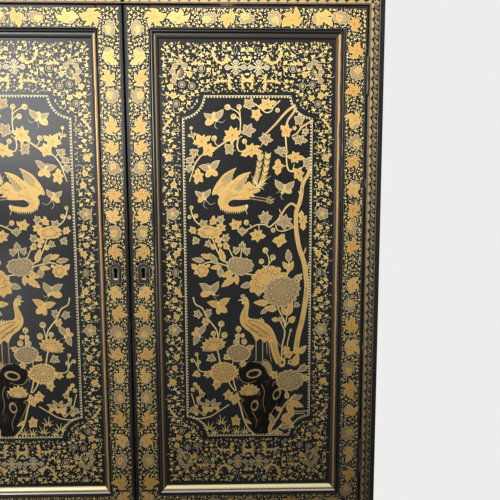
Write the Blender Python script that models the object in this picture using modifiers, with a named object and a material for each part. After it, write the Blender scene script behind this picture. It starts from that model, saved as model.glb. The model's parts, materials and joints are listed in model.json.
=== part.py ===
"""Lacquered two-door cabinet on a waisted stand with hoof feet.

Metres, +Z up. The origin lies on the floor under the middle of the stand.
The doors face -Y, and +X is to the right of someone facing them.
"""

import math

import bmesh
import bpy
from mathutils import Matrix, Vector

# Fits
CLEAR = 0.0003  # gap between pieces that touch
SEAT_CLEAR = 0.001  # play of the case in the rim of the stand
GAIN_CLEAR = 0.0005  # room round a hinge barrel

# Case
CASE_WIDTH = 0.802
CASE_DEPTH = 0.420
CASE_HEIGHT = 0.874
BOARD = 0.025  # thickness of the top, bottom and side boards
TONGUE_THICKNESS = 0.010
TONGUE_LENGTH = 0.010
TONGUE_SETBACK = 0.022  # wood that hides a tongue at the front and back edges
BACK_THICKNESS = 0.010
BACK_INSET = 0.012  # from the rear edges to the back panel
BACK_GROOVE = 0.008
SHELF_THICKNESS = 0.018
SHELF_HOUSING = 0.008  # depth of the housings that carry the shelves
SHELF_COUNT = 2
STOP_LENGTH = 0.240
STOP_SECTION = 0.012
STOP_TENON = 0.005  # how far a door stop is let into the top board

# Doors
DOOR_THICKNESS = 0.022
DOOR_GAP = 0.0012  # above, below and at the hinges
MEETING_GAP = 0.002  # between the two doors
MEETING_STILE_WIDTH = 0.0392
HINGE_STILE_WIDTH = 0.0377
DOOR_TOP_RAIL_WIDTH = 0.0350
DOOR_BOTTOM_RAIL_WIDTH = 0.0380
MORTISE_WOOD = 0.012  # wood left between a mortise and the stile's outer edge
TENON_THICKNESS = 0.008
TENON_OUTER_SHOULDER = 0.007
TENON_INNER_SHOULDER = 0.011
PANEL_THICKNESS = 0.010
PANEL_RECESS = 0.0068  # from the frame's front down to the panel
PANEL_GROOVE = 0.008
PANEL_PLAY = 0.0015  # room for the panel to swell in its grooves

# Panel moulding: a black bead against the frame, a quirk, then an ovolo down to the panel
MOULDING_WIDTH = 0.0110
MOULDING_DROP = 0.0006  # from the frame's front to the bead's crown
BEAD_WIDTH = 0.0036
BEAD_RISE = 0.0018
QUIRK_WIDTH = 0.0018
QUIRK_FLOOR = 0.0026
OVOLO_CROWN = 0.0042
OVOLO_EDGE = 0.0008
MOULDING_STEPS = 6

# Escutcheons and keyhole
ESCUTCHEON_RADIUS = 0.0080
ESCUTCHEON_FOOT_WIDTH = 0.0134
ESCUTCHEON_FOOT_DROP = 0.0205  # from the centre of the round head to the foot
ESCUTCHEON_THICKNESS = 0.0014
KEYHOLE_RADIUS = 0.0035
KEYHOLE_SLOT_WIDTH = 0.0046
KEYHOLE_SLOT_DROP = 0.0130  # from the round part's centre to the slot's foot
KEYHOLE_LIFT = 0.006  # round part above the middle of the door
KEYHOLE_FROM_EDGE = 0.0210  # from the door's meeting edge

# Hinges
HINGE_LENGTH = 0.058
HINGE_FROM_END = 0.075  # from the door's end to the hinge
HINGE_PROUD = 0.0010  # the pin stands this far in front of the doors
KNUCKLE_RADIUS = 0.0030
KNUCKLE_GAP = 0.0004
PIN_RADIUS = 0.0012
LEAF_THICKNESS = 0.0015
LEAF_BACK_WOOD = 0.005  # wood behind a leaf in the door's edge
ROUND_STEPS = 20

# Lock in the right door, keeper on the left door
LOCK_WIDTH = 0.036
LOCK_DEPTH = 0.012
LOCK_HEIGHT = 0.060
LOCK_SETBACK = 0.001  # from the door's meeting edge
BOLT_LENGTH = 0.026
BOLT_THICKNESS = 0.0055
BOLT_HEIGHT = 0.012
BOLT_TRAVEL = 0.010
BOLT_LIFT = 0.016  # above the middle of the keyhole's round part
KEEPER_WIDTH = 0.020
KEEPER_HEIGHT = 0.030
KEEPER_WALL = 0.004  # behind the socket that the bolt enters

# Slide bolts inside the left door, top and bottom
GUIDE_WIDTH = 0.022
GUIDE_DEPTH = 0.010
GUIDE_LENGTH = 0.044
GUIDE_FROM_END = 0.014  # from the door's end to the guide
SLIDE_WIDTH = 0.010
SLIDE_THICKNESS = 0.005
SLIDE_LENGTH = 0.100
SLIDE_SETBACK = 0.001  # from the door's end to the bolt's tip
SLIDE_TRAVEL = 0.012
SLIDE_SOCKET = 0.014
SLIDE_PLAY = 0.001
KNOB_RADIUS = 0.004
KNOB_LENGTH = 0.010
INSIDE_CLEARANCE = 0.005  # between the hardware and the shelves

# Stand
STAND_HEIGHT = 0.600
STAND_MARGIN = 0.020  # the stand's top beyond the case on every side
TOP_RAIL_WIDTH = 0.072
TOP_RAIL_THICKNESS = 0.030
SEAT_DEPTH = 0.004  # how far the case sits in the rim
RIM_ROUND = 0.010  # rounding of the top rail's outer edge
WAIST_HEIGHT = 0.024
WAIST_INSET = 0.022  # from the stand's outer edge
APRON_INSET = 0.011
APRON_THICKNESS = 0.020
APRON_HEIGHT = 0.092  # at the legs
APRON_MIDDLE = 0.052  # along the middle
APRON_SWEEP = 0.26  # share of the half length in which the apron sweeps down to a leg
CUSP_DROP = 0.012
CUSP_SPREAD = 0.14  # share of the half length under the middle cusp
APRON_TENON = 0.018
APRON_TENON_THICKNESS = 0.010
APRON_TENON_SHOULDER = 0.012
APRON_STEPS = 56
LEG_INSET = 0.008
LEG_SIZE = 0.060  # square, at the apron
LEG_SLIM = 0.042  # square, above the hoof
HOOF_SIZE = 0.066
HOOF_HEIGHT = 0.105
LEG_STEPS = 26
LEG_TENON = 0.016
LEG_TENON_SIZE = 0.018

# Rounded edges
EDGE = 0.0012
SMALL_EDGE = 0.0004
EDGE_STEPS = 2

# Places worked out from the sizes
STAND_WIDTH = CASE_WIDTH + 2 * STAND_MARGIN
STAND_DEPTH = CASE_DEPTH + 2 * STAND_MARGIN
RAIL_BOTTOM = STAND_HEIGHT - TOP_RAIL_THICKNESS
APRON_TOP = RAIL_BOTTOM - WAIST_HEIGHT
CASE_BOTTOM = STAND_HEIGHT - SEAT_DEPTH + CLEAR
CASE_TOP = CASE_BOTTOM + CASE_HEIGHT
FRONT = -CASE_DEPTH / 2
REAR = CASE_DEPTH / 2
SIDE_INNER = CASE_WIDTH / 2 - BOARD
FLOOR_INNER = CASE_BOTTOM + BOARD
CEILING_INNER = CASE_TOP - BOARD
BACK_FRONT = REAR - BACK_INSET - BACK_THICKNESS
DOOR_BACK = FRONT + DOOR_THICKNESS
DOOR_MEETING = MEETING_GAP / 2
DOOR_HINGE_EDGE = SIDE_INNER - DOOR_GAP
DOOR_LOW = FLOOR_INNER + DOOR_GAP
DOOR_HIGH = CEILING_INNER - DOOR_GAP
DOOR_MIDDLE = (DOOR_LOW + DOOR_HIGH) / 2
OPENING_LOW = DOOR_LOW + DOOR_BOTTOM_RAIL_WIDTH
OPENING_HIGH = DOOR_HIGH - DOOR_TOP_RAIL_WIDTH
OPENING_IN = DOOR_MEETING + MEETING_STILE_WIDTH
OPENING_OUT = DOOR_HINGE_EDGE - HINGE_STILE_WIDTH
PANEL_FRONT = FRONT + PANEL_RECESS
HINGE_X = SIDE_INNER - DOOR_GAP / 2
HINGE_Y = FRONT - HINGE_PROUD
LEAF_WIDTH = DOOR_THICKNESS + HINGE_PROUD - LEAF_BACK_WOOD
KEYHOLE_X = DOOR_MEETING + KEYHOLE_FROM_EDGE
KEYHOLE_Z = DOOR_MIDDLE + KEYHOLE_LIFT
HARDWARE_DEPTH = max(LOCK_DEPTH, GUIDE_DEPTH + KNOB_LENGTH)
SHELF_FRONT = DOOR_BACK + HARDWARE_DEPTH + INSIDE_CLEARANCE

LEFT, RIGHT = -1, 1
SIDE_NAMES = {LEFT: "left", RIGHT: "right"}
END_NAMES = {-1: "bottom", 1: "top"}


# Scene and object helpers
def clear_scene():
    """Remove every object, so that the script can run again in an open file."""
    for obj in list(bpy.data.objects):
        bpy.data.objects.remove(obj)
    for collection in list(bpy.data.collections):
        bpy.data.collections.remove(collection)


def make_collection(name):
    """Add a collection to the scene."""
    collection = bpy.data.collections.new(name)
    bpy.context.scene.collection.children.link(collection)
    return collection


def make_material(name, colour, roughness, metallic):
    """A Principled material with one colour."""
    material = bpy.data.materials.new(name)
    material.use_nodes = True
    shader = material.node_tree.nodes["Principled BSDF"]
    shader.inputs["Base Color"].default_value = (*colour, 1.0)
    shader.inputs["Roughness"].default_value = roughness
    shader.inputs["Metallic"].default_value = metallic
    return material


clear_scene()
PARTS = make_collection("Lacquered cabinet on stand")
CUTTERS = make_collection("Cutters")
LACQUER = make_material("black lacquer", (0.014, 0.013, 0.014), 0.28, 0.0)
INNER_LACQUER = make_material("inner lacquer", (0.020, 0.012, 0.011), 0.45, 0.0)
GILT = make_material("gilt moulding", (0.62, 0.42, 0.13), 0.35, 1.0)
BRONZE = make_material("dark bronze", (0.060, 0.056, 0.052), 0.42, 1.0)
BRASS = make_material("old brass", (0.42, 0.31, 0.14), 0.38, 1.0)


def link(name, mesh, material):
    """A mesh as a named piece of the cabinet."""
    obj = bpy.data.objects.new(name, mesh)
    obj.data.materials.append(material)
    PARTS.objects.link(obj)
    return obj


def make_cutter(obj):
    """Hide an object that only shapes another."""
    for collection in list(obj.users_collection):
        collection.objects.unlink(obj)
    CUTTERS.objects.link(obj)
    obj.hide_render = True
    obj.display_type = "WIRE"
    return obj


def box_mesh(name, low, high):
    """A box between two corners, as a mesh about its own middle, and that middle."""
    low, high = Vector(map(min, low, high)), Vector(map(max, low, high))
    mesh = bpy.data.meshes.new(name)
    model = bmesh.new()
    size = Matrix.Diagonal((*(high - low), 1.0))
    bmesh.ops.create_cube(model, size=1.0, matrix=size)
    model.to_mesh(mesh)
    model.free()
    return mesh, (low + high) / 2


def box(name, low, high, material, edge=EDGE):
    """A board or block between two corners, with rounded edges."""
    mesh, middle = box_mesh(name, low, high)
    obj = link(name, mesh, material)
    obj.location = middle
    round_edges(obj, edge)
    return obj


def round_edges(obj, edge):
    """Round the edges of an object's own mesh."""
    bevel = obj.modifiers.new("Rounded edges", "BEVEL")
    bevel.width = edge
    bevel.segments = EDGE_STEPS
    bevel.limit_method = "ANGLE"


def box_cutter(name, low, high):
    """A hidden box between two corners."""
    mesh, middle = box_mesh(name, low, high)
    obj = bpy.data.objects.new(name, mesh)
    obj.location = middle
    return make_cutter(obj)


def rod_mesh(name, radius, length):
    """A round rod along Z about the origin."""
    mesh = bpy.data.meshes.new(name)
    model = bmesh.new()
    bmesh.ops.create_cone(
        model,
        cap_ends=True,
        segments=ROUND_STEPS,
        radius1=radius,
        radius2=radius,
        depth=length,
    )
    model.to_mesh(mesh)
    model.free()
    mesh.shade_smooth()
    mesh.set_sharp_from_angle(angle=math.radians(40))
    return mesh


def rod_cutter(name, radius, length, middle, rotation=(0, 0, 0)):
    """A hidden round rod."""
    obj = bpy.data.objects.new(name, rod_mesh(name, radius, length))
    obj.location = middle
    obj.rotation_euler = rotation
    return make_cutter(obj)


def shape(obj, tool, operation="DIFFERENCE"):
    """Cut a hidden shape out of a piece, or join it on."""
    boolean = obj.modifiers.new(f"{operation.title()} {tool.name}", "BOOLEAN")
    boolean.operation = operation
    boolean.object = tool
    return obj


def cut_box(obj, name, low, high):
    """Cut the box between two corners out of a piece."""
    return shape(obj, box_cutter(name, low, high))


def join_box(obj, name, low, high):
    """Join the box between two corners on to a piece."""
    return shape(obj, box_cutter(name, low, high), "UNION")


def arc(centre, radius, start, end, steps):
    """Points on a round arc, angles in degrees."""
    points = []
    for step in range(steps + 1):
        angle = math.radians(start + (end - start) * step / steps)
        points.append((centre[0] + radius * math.cos(angle), centre[1] + radius * math.sin(angle)))
    return points


def plate_mesh(name, outlines, thickness):
    """A flat plate in the XY plane: the first outline is its edge, any others are holes."""
    curve = bpy.data.curves.new(name, "CURVE")
    curve.dimensions = "2D"
    curve.fill_mode = "BOTH"
    curve.extrude = thickness / 2
    for outline in outlines:
        spline = curve.splines.new("POLY")
        spline.points.add(len(outline) - 1)
        for point, (x, y) in zip(spline.points, outline):
            point.co = (x, y, 0, 1)
        spline.use_cyclic_u = True
    carrier = bpy.data.objects.new(name, curve)
    bpy.context.scene.collection.objects.link(carrier)
    bpy.context.view_layer.update()
    graph = bpy.context.evaluated_depsgraph_get()
    mesh = bpy.data.meshes.new_from_object(carrier.evaluated_get(graph))
    bpy.data.objects.remove(carrier)
    model = bmesh.new()
    model.from_mesh(mesh)
    bmesh.ops.remove_doubles(model, verts=model.verts, dist=1e-6)
    bmesh.ops.recalc_face_normals(model, faces=model.faces)
    model.to_mesh(mesh)
    model.free()
    mesh.materials.clear()
    return mesh


def loft_mesh(name, rings):
    """A closed solid through rings of points, each ring with the same number of points."""
    mesh = bpy.data.meshes.new(name)
    model = bmesh.new()
    rows = [[model.verts.new(point) for point in ring] for ring in rings]
    model.faces.new(rows[0])
    model.faces.new(rows[-1])
    for row, next_row in zip(rows, rows[1:]):
        for n in range(len(row)):
            model.faces.new((row[n - 1], row[n], next_row[n], next_row[n - 1]))
    bmesh.ops.recalc_face_normals(model, faces=model.faces)
    model.to_mesh(mesh)
    model.free()
    return mesh


def slab_mesh(name, outline, thickness):
    """A flat slab in the XY plane, without holes."""
    half = thickness / 2
    return loft_mesh(name, [[(x, y, level) for x, y in outline] for level in (-half, half)])


def strip_mesh(name, profile, length):
    """A strip along X with both ends mitred.

    The profile's points are (inward, up): inward is the way the mitres close in, +Y.
    """
    half = length / 2
    return loft_mesh(name, [[(end * (half - u), u, w) for u, w in profile] for end in (-1, 1)])


def pivot(name, place):
    """An empty on a joint's axis."""
    empty = bpy.data.objects.new(name, None)
    empty.location = place
    empty.empty_display_size = 0.02
    PARTS.objects.link(empty)
    return empty


def hang(obj, parent):
    """Parent a piece to an empty and leave it where it is."""
    obj.parent = parent
    obj.matrix_parent_inverse = Matrix.Translation(-parent.location)
    return obj


# Case
def build_boards():
    """The top and bottom boards, with grooves for the sides' tongues and for the back."""
    boards = {}
    for end, low in ((-1, CASE_BOTTOM), (1, CASE_TOP - BOARD)):
        name = f"{END_NAMES[end]}_board"
        half = CASE_WIDTH / 2
        board = box(name, (-half, FRONT, low), (half, REAR, low + BOARD), LACQUER)
        inner = FLOOR_INNER if end < 0 else CEILING_INNER
        for side in (LEFT, RIGHT):
            x_low, x_high = tongue_span(side)
            cut_box(
                board,
                f"{name}_{SIDE_NAMES[side]}_groove",
                (x_low - CLEAR, FRONT + TONGUE_SETBACK - CLEAR, inner),
                (x_high + CLEAR, REAR - TONGUE_SETBACK + CLEAR, inner + end * (TONGUE_LENGTH + CLEAR)),
            )
        cut_box(
            board,
            f"{name}_back_groove",
            (-SIDE_INNER - BACK_GROOVE, BACK_FRONT - CLEAR, inner - end * BOARD),
            (SIDE_INNER + BACK_GROOVE, BACK_FRONT + BACK_THICKNESS + CLEAR, inner + end * BACK_GROOVE),
        )
        boards[end] = board
    return boards


def tongue_span(side):
    """The lowest and highest X of the tongue on one side board."""
    middle = side * (CASE_WIDTH / 2 - BOARD / 2)
    return middle - TONGUE_THICKNESS / 2, middle + TONGUE_THICKNESS / 2


def shelf_levels():
    """The undersides of the shelves, which share the height evenly."""
    room = CEILING_INNER - FLOOR_INNER - SHELF_COUNT * SHELF_THICKNESS
    bay = room / (SHELF_COUNT + 1)
    return [FLOOR_INNER + bay * (n + 1) + SHELF_THICKNESS * n for n in range(SHELF_COUNT)]


def build_side(side):
    """A side board with tongues, shelf housings and the groove for the back."""
    name = f"{SIDE_NAMES[side]}_side"
    inner, outer = side * SIDE_INNER, side * CASE_WIDTH / 2
    board = box(
        name,
        (inner, FRONT, FLOOR_INNER + CLEAR),
        (outer, REAR, CEILING_INNER - CLEAR),
        LACQUER,
    )
    x_low, x_high = tongue_span(side)
    for end, inner_z in ((-1, FLOOR_INNER), (1, CEILING_INNER)):
        join_box(
            board,
            f"{name}_{END_NAMES[end]}_tongue",
            (x_low, FRONT + TONGUE_SETBACK, inner_z - end * BOARD / 2),
            (x_high, REAR - TONGUE_SETBACK, inner_z + end * TONGUE_LENGTH),
        )
    for number, level in enumerate(shelf_levels()):
        cut_box(
            board,
            f"{name}_housing_{number + 1}",
            (inner - side * BOARD, SHELF_FRONT - CLEAR, level - CLEAR),
            (inner + side * (SHELF_HOUSING + CLEAR), BACK_FRONT, level + SHELF_THICKNESS + CLEAR),
        )
    cut_box(
        board,
        f"{name}_back_groove",
        (inner - side * BOARD, BACK_FRONT - CLEAR, FLOOR_INNER - BOARD),
        (inner + side * BACK_GROOVE, BACK_FRONT + BACK_THICKNESS + CLEAR, CEILING_INNER + BOARD),
    )
    return board


def build_inside(top_board):
    """The back panel, the shelves and the stops that the doors close against."""
    box(
        "back_panel",
        (-SIDE_INNER - BACK_GROOVE + CLEAR, BACK_FRONT, FLOOR_INNER - BACK_GROOVE + CLEAR),
        (SIDE_INNER + BACK_GROOVE - CLEAR, BACK_FRONT + BACK_THICKNESS, CEILING_INNER + BACK_GROOVE - CLEAR),
        INNER_LACQUER,
    )
    half = SIDE_INNER + SHELF_HOUSING
    for number, level in enumerate(shelf_levels()):
        box(
            f"shelf_{number + 1}",
            (-half, SHELF_FRONT, level),
            (half, BACK_FRONT - 2 * CLEAR, level + SHELF_THICKNESS),
            INNER_LACQUER,
        )
    for side in (LEFT, RIGHT):
        outer = side * (SIDE_INNER - CLEAR)
        inner = outer - side * STOP_LENGTH
        front = DOOR_BACK + 2 * CLEAR
        name = f"{SIDE_NAMES[side]}_door_stop"
        box(
            name,
            (outer, front, CEILING_INNER - STOP_SECTION),
            (inner, front + STOP_SECTION, CEILING_INNER + STOP_TENON),
            INNER_LACQUER,
            SMALL_EDGE,
        )
        cut_box(
            top_board,
            f"{name}_housing",
            (outer + side * CLEAR, front - CLEAR, CEILING_INNER - BOARD),
            (inner - side * CLEAR, front + STOP_SECTION + CLEAR, CEILING_INNER + STOP_TENON + CLEAR),
        )


# Doors
def build_stile(side, place, outer, inner, hang_on):
    """An upright of a door, mortised for the rails and grooved for the panel."""
    name = f"{SIDE_NAMES[side]}_door_{place}_stile"
    toward = 1 if inner > outer else -1  # the way that the panel lies
    stile = box(
        name,
        (side * outer, FRONT, DOOR_LOW),
        (side * inner, DOOR_BACK, DOOR_HIGH),
        LACQUER,
    )
    depth = outer + toward * MORTISE_WOOD
    middle = (FRONT + DOOR_BACK) / 2
    half = TENON_THICKNESS / 2 + CLEAR
    for end in (-1, 1):
        tenon_low, tenon_high = tenon_levels(end)
        cut_box(
            stile,
            f"{name}_{END_NAMES[end]}_mortise",
            (side * (depth - toward * CLEAR), middle - half, tenon_low - CLEAR),
            (side * (inner + toward * HINGE_STILE_WIDTH), middle + half, tenon_high + CLEAR),
        )
    cut_box(
        stile,
        f"{name}_groove",
        (side * (inner - toward * PANEL_GROOVE), PANEL_FRONT - CLEAR, OPENING_LOW - PANEL_GROOVE),
        (
            side * (inner + toward * HINGE_STILE_WIDTH),
            PANEL_FRONT + PANEL_THICKNESS + CLEAR,
            OPENING_HIGH + PANEL_GROOVE,
        ),
    )
    return hang(stile, hang_on)


def tenon_levels(end):
    """The lowest and highest Z of a rail's tenon at one end of a door."""
    if end > 0:
        return OPENING_HIGH + TENON_INNER_SHOULDER, DOOR_HIGH - TENON_OUTER_SHOULDER
    return DOOR_LOW + TENON_OUTER_SHOULDER, OPENING_LOW - TENON_INNER_SHOULDER


def build_rail(side, end, hang_on):
    """A cross rail of a door, tenoned into both stiles and grooved for the panel."""
    name = f"{SIDE_NAMES[side]}_door_{END_NAMES[end]}_rail"
    low, high = (OPENING_HIGH, DOOR_HIGH) if end > 0 else (DOOR_LOW, OPENING_LOW)
    rail = box(
        name,
        (side * (OPENING_IN + CLEAR), FRONT, low),
        (side * (OPENING_OUT - CLEAR), DOOR_BACK, high),
        LACQUER,
    )
    middle = (FRONT + DOOR_BACK) / 2
    tenon_low, tenon_high = tenon_levels(end)
    join_box(
        rail,
        f"{name}_tenons",
        (side * (DOOR_MEETING + MORTISE_WOOD), middle - TENON_THICKNESS / 2, tenon_low),
        (side * (DOOR_HINGE_EDGE - MORTISE_WOOD), middle + TENON_THICKNESS / 2, tenon_high),
    )
    edge = OPENING_HIGH if end > 0 else OPENING_LOW
    cut_box(
        rail,
        f"{name}_groove",
        (side * (OPENING_IN - MEETING_STILE_WIDTH), PANEL_FRONT - CLEAR, edge + end * PANEL_GROOVE),
        (side * DOOR_HINGE_EDGE, PANEL_FRONT + PANEL_THICKNESS + CLEAR, edge - end * DOOR_BOTTOM_RAIL_WIDTH),
    )
    return hang(rail, hang_on)


def moulding_profile():
    """The section of the panel moulding: inward from the frame, and up from the panel."""
    top = PANEL_RECESS - MOULDING_DROP
    bead = BEAD_WIDTH / 2
    points = [(MOULDING_WIDTH, CLEAR), (MOULDING_WIDTH, OVOLO_EDGE)]
    quirk = BEAD_WIDTH + QUIRK_WIDTH
    run = MOULDING_WIDTH - quirk
    for step in range(1, MOULDING_STEPS + 1):
        angle = math.pi / 2 * step / MOULDING_STEPS
        rise = OVOLO_EDGE + (OVOLO_CROWN - OVOLO_EDGE) * math.sin(angle)
        points.append((MOULDING_WIDTH - run * (1 - math.cos(angle)), rise))
    points += [(quirk, QUIRK_FLOOR), (BEAD_WIDTH, QUIRK_FLOOR)]
    for step in range(MOULDING_STEPS + 1):
        angle = math.pi * step / MOULDING_STEPS
        points.append((bead + bead * math.cos(angle), top - BEAD_RISE + BEAD_RISE * math.sin(angle)))
    points.append((0.0, CLEAR))
    return points


def build_moulding(side, hang_on):
    """The four mitred strips round a door's panel."""
    width = OPENING_OUT - OPENING_IN - 2 * CLEAR
    height = OPENING_HIGH - OPENING_LOW - 2 * CLEAR
    across = side * (OPENING_IN + OPENING_OUT) / 2
    level = (OPENING_LOW + OPENING_HIGH) / 2
    quarter = math.pi / 2
    # Each turn sets the strip's inward side towards the middle of the panel
    strips = {
        "bottom": (width, (across, level - height / 2), 0),
        "right": (height, (across + width / 2, level), quarter),
        "top": (width, (across, level + height / 2), 2 * quarter),
        "left": (height, (across - width / 2, level), 3 * quarter),
    }
    for place, (length, (x, z), turn) in strips.items():
        name = f"{SIDE_NAMES[side]}_door_{place}_moulding"
        strip = link(name, strip_mesh(name, moulding_profile(), length - 2 * CLEAR), GILT)
        upright = Matrix.Rotation(quarter, 4, "X")
        strip.matrix_world = (
            Matrix.Translation((x, PANEL_FRONT, z)) @ Matrix.Rotation(-turn, 4, "Y") @ upright
        )
        strip.data.shade_smooth()
        strip.data.set_sharp_from_angle(angle=math.radians(35))
        hang(strip, hang_on)


def keyhole_outline(grow=0.0):
    """A round hole with a slot below it, about the round part's centre."""
    radius = KEYHOLE_RADIUS + grow
    half = KEYHOLE_SLOT_WIDTH / 2 + grow
    opening = math.degrees(math.asin(half / radius))
    points = arc((0, 0), radius, -90 + opening, 270 - opening, ROUND_STEPS)
    foot = -KEYHOLE_SLOT_DROP - grow
    return points + [(-half, foot), (half, foot)]


def escutcheon_outline():
    """A round head that narrows to a square foot."""
    half = ESCUTCHEON_FOOT_WIDTH / 2
    corner = half / 4
    foot = -ESCUTCHEON_FOOT_DROP
    points = arc((0, 0), ESCUTCHEON_RADIUS, -50, 230, ROUND_STEPS)
    points += [(-half, foot * 0.45)]
    points += arc((corner - half, foot + corner), corner, 180, 270, 4)
    points += arc((half - corner, foot + corner), corner, 270, 360, 4)
    points += [(half, foot * 0.45)]
    return points


def build_escutcheon(side, stile, hang_on):
    """The keyhole plate on a meeting stile, and the keyhole behind it."""
    name = f"{SIDE_NAMES[side]}_escutcheon"
    upright = (math.pi / 2, 0, 0)
    plate = link(
        name,
        plate_mesh(name, [escutcheon_outline(), keyhole_outline()], ESCUTCHEON_THICKNESS),
        BRONZE,
    )
    plate.location = (side * KEYHOLE_X, FRONT - CLEAR - ESCUTCHEON_THICKNESS / 2, KEYHOLE_Z)
    plate.rotation_euler = upright
    hang(plate, hang_on)
    # The right keyhole runs through to the lock, and the left one is blind
    depth = DOOR_THICKNESS + EDGE if side == RIGHT else DOOR_THICKNESS / 2
    cutter_name = f"{name}_keyhole"
    cutter = bpy.data.objects.new(
        cutter_name, slab_mesh(cutter_name, keyhole_outline(CLEAR), depth + EDGE)
    )
    cutter.location = (side * KEYHOLE_X, FRONT + (depth - EDGE) / 2, KEYHOLE_Z)
    cutter.rotation_euler = upright
    shape(stile, make_cutter(cutter))


def build_door(side):
    """One framed door, and the empty on its hinge axis."""
    axis = pivot(f"{SIDE_NAMES[side]}_door_axis", (side * HINGE_X, HINGE_Y, DOOR_MIDDLE))
    meeting = build_stile(side, "meeting", DOOR_MEETING, OPENING_IN, axis)
    hinge = build_stile(side, "hinge", DOOR_HINGE_EDGE, OPENING_OUT, axis)
    for end in (-1, 1):
        build_rail(side, end, axis)
    reach = PANEL_GROOVE - PANEL_PLAY
    panel = box(
        f"{SIDE_NAMES[side]}_door_panel",
        (side * (OPENING_IN - reach), PANEL_FRONT, OPENING_LOW - reach),
        (side * (OPENING_OUT + reach), PANEL_FRONT + PANEL_THICKNESS, OPENING_HIGH + reach),
        LACQUER,
        SMALL_EDGE,
    )
    hang(panel, axis)
    build_moulding(side, axis)
    build_escutcheon(side, meeting, axis)
    return axis, hinge


# Hinges
def leaf_outline(into):
    """The rolled section of a hinge leaf about its pin: into is +1 or -1, the way its wood lies."""
    near, far = DOOR_GAP / 2, DOOR_GAP / 2 + LEAF_THICKNESS
    start = math.degrees(math.asin(math.sqrt(KNUCKLE_RADIUS**2 - far**2) / KNUCKLE_RADIUS))
    end = math.degrees(math.asin(math.sqrt(KNUCKLE_RADIUS**2 - near**2) / KNUCKLE_RADIUS))
    points = [(near, LEAF_WIDTH), (far, LEAF_WIDTH)]
    points += arc((0, 0), KNUCKLE_RADIUS, start, end - 360, ROUND_STEPS)
    return [(into * x, y) for x, y in points]


def build_leaf(name, into, place, cleared):
    """A leaf with its knuckles, cut away where the other leaf's knuckles turn."""
    bore = arc((0, 0), PIN_RADIUS + CLEAR, 0, 360, ROUND_STEPS)[:-1]
    leaf = link(name, plate_mesh(name, [leaf_outline(into), bore], HINGE_LENGTH), BRONZE)
    leaf.location = place
    room = KNUCKLE_RADIUS + GAIN_CLEAR
    for number, (low, high) in enumerate(cleared):
        cut_box(
            leaf,
            f"{name}_clearance_{number + 1}",
            (place[0] - room, place[1] - room, place[2] + low),
            (place[0] + room, place[1] + room, place[2] + high),
        )
    return leaf


def build_hinge(side, end, case_side, hinge_stile, door_axis):
    """A butt hinge of two leaves and a pin, let into the case and the door's edge."""
    name = f"{SIDE_NAMES[side]}_{'upper' if end > 0 else 'lower'}_hinge"
    from_middle = (DOOR_HIGH - DOOR_LOW) / 2 - HINGE_FROM_END - HINGE_LENGTH / 2
    place = Vector((side * HINGE_X, HINGE_Y, DOOR_MIDDLE + end * from_middle))
    third = HINGE_LENGTH / 6
    past = HINGE_LENGTH
    build_leaf(f"{name}_case_leaf", side, place, [(-third - KNUCKLE_GAP / 2, third + KNUCKLE_GAP / 2)])
    door_leaf = build_leaf(
        f"{name}_door_leaf",
        -side,
        place,
        [(-past, -third + KNUCKLE_GAP / 2), (third - KNUCKLE_GAP / 2, past)],
    )
    hang(door_leaf, door_axis)
    pin = link(f"{name}_pin", rod_mesh(f"{name}_pin", PIN_RADIUS, HINGE_LENGTH), BRASS)
    pin.location = place
    # The gains: a shallow pocket for each leaf and a hollow for the barrel
    half = HINGE_LENGTH / 2 + CLEAR
    for wood, into in ((case_side, side), (hinge_stile, -side)):
        cut_box(
            wood,
            f"{wood.name}_{name}_gain",
            (place.x, place.y, place.z - half),
            (
                place.x + into * (DOOR_GAP / 2 + LEAF_THICKNESS + CLEAR),
                place.y + LEAF_WIDTH + CLEAR,
                place.z + half,
            ),
        )
        shape(
            wood,
            rod_cutter(f"{wood.name}_{name}_barrel", KNUCKLE_RADIUS + GAIN_CLEAR, 2 * half, place),
        )


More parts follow.
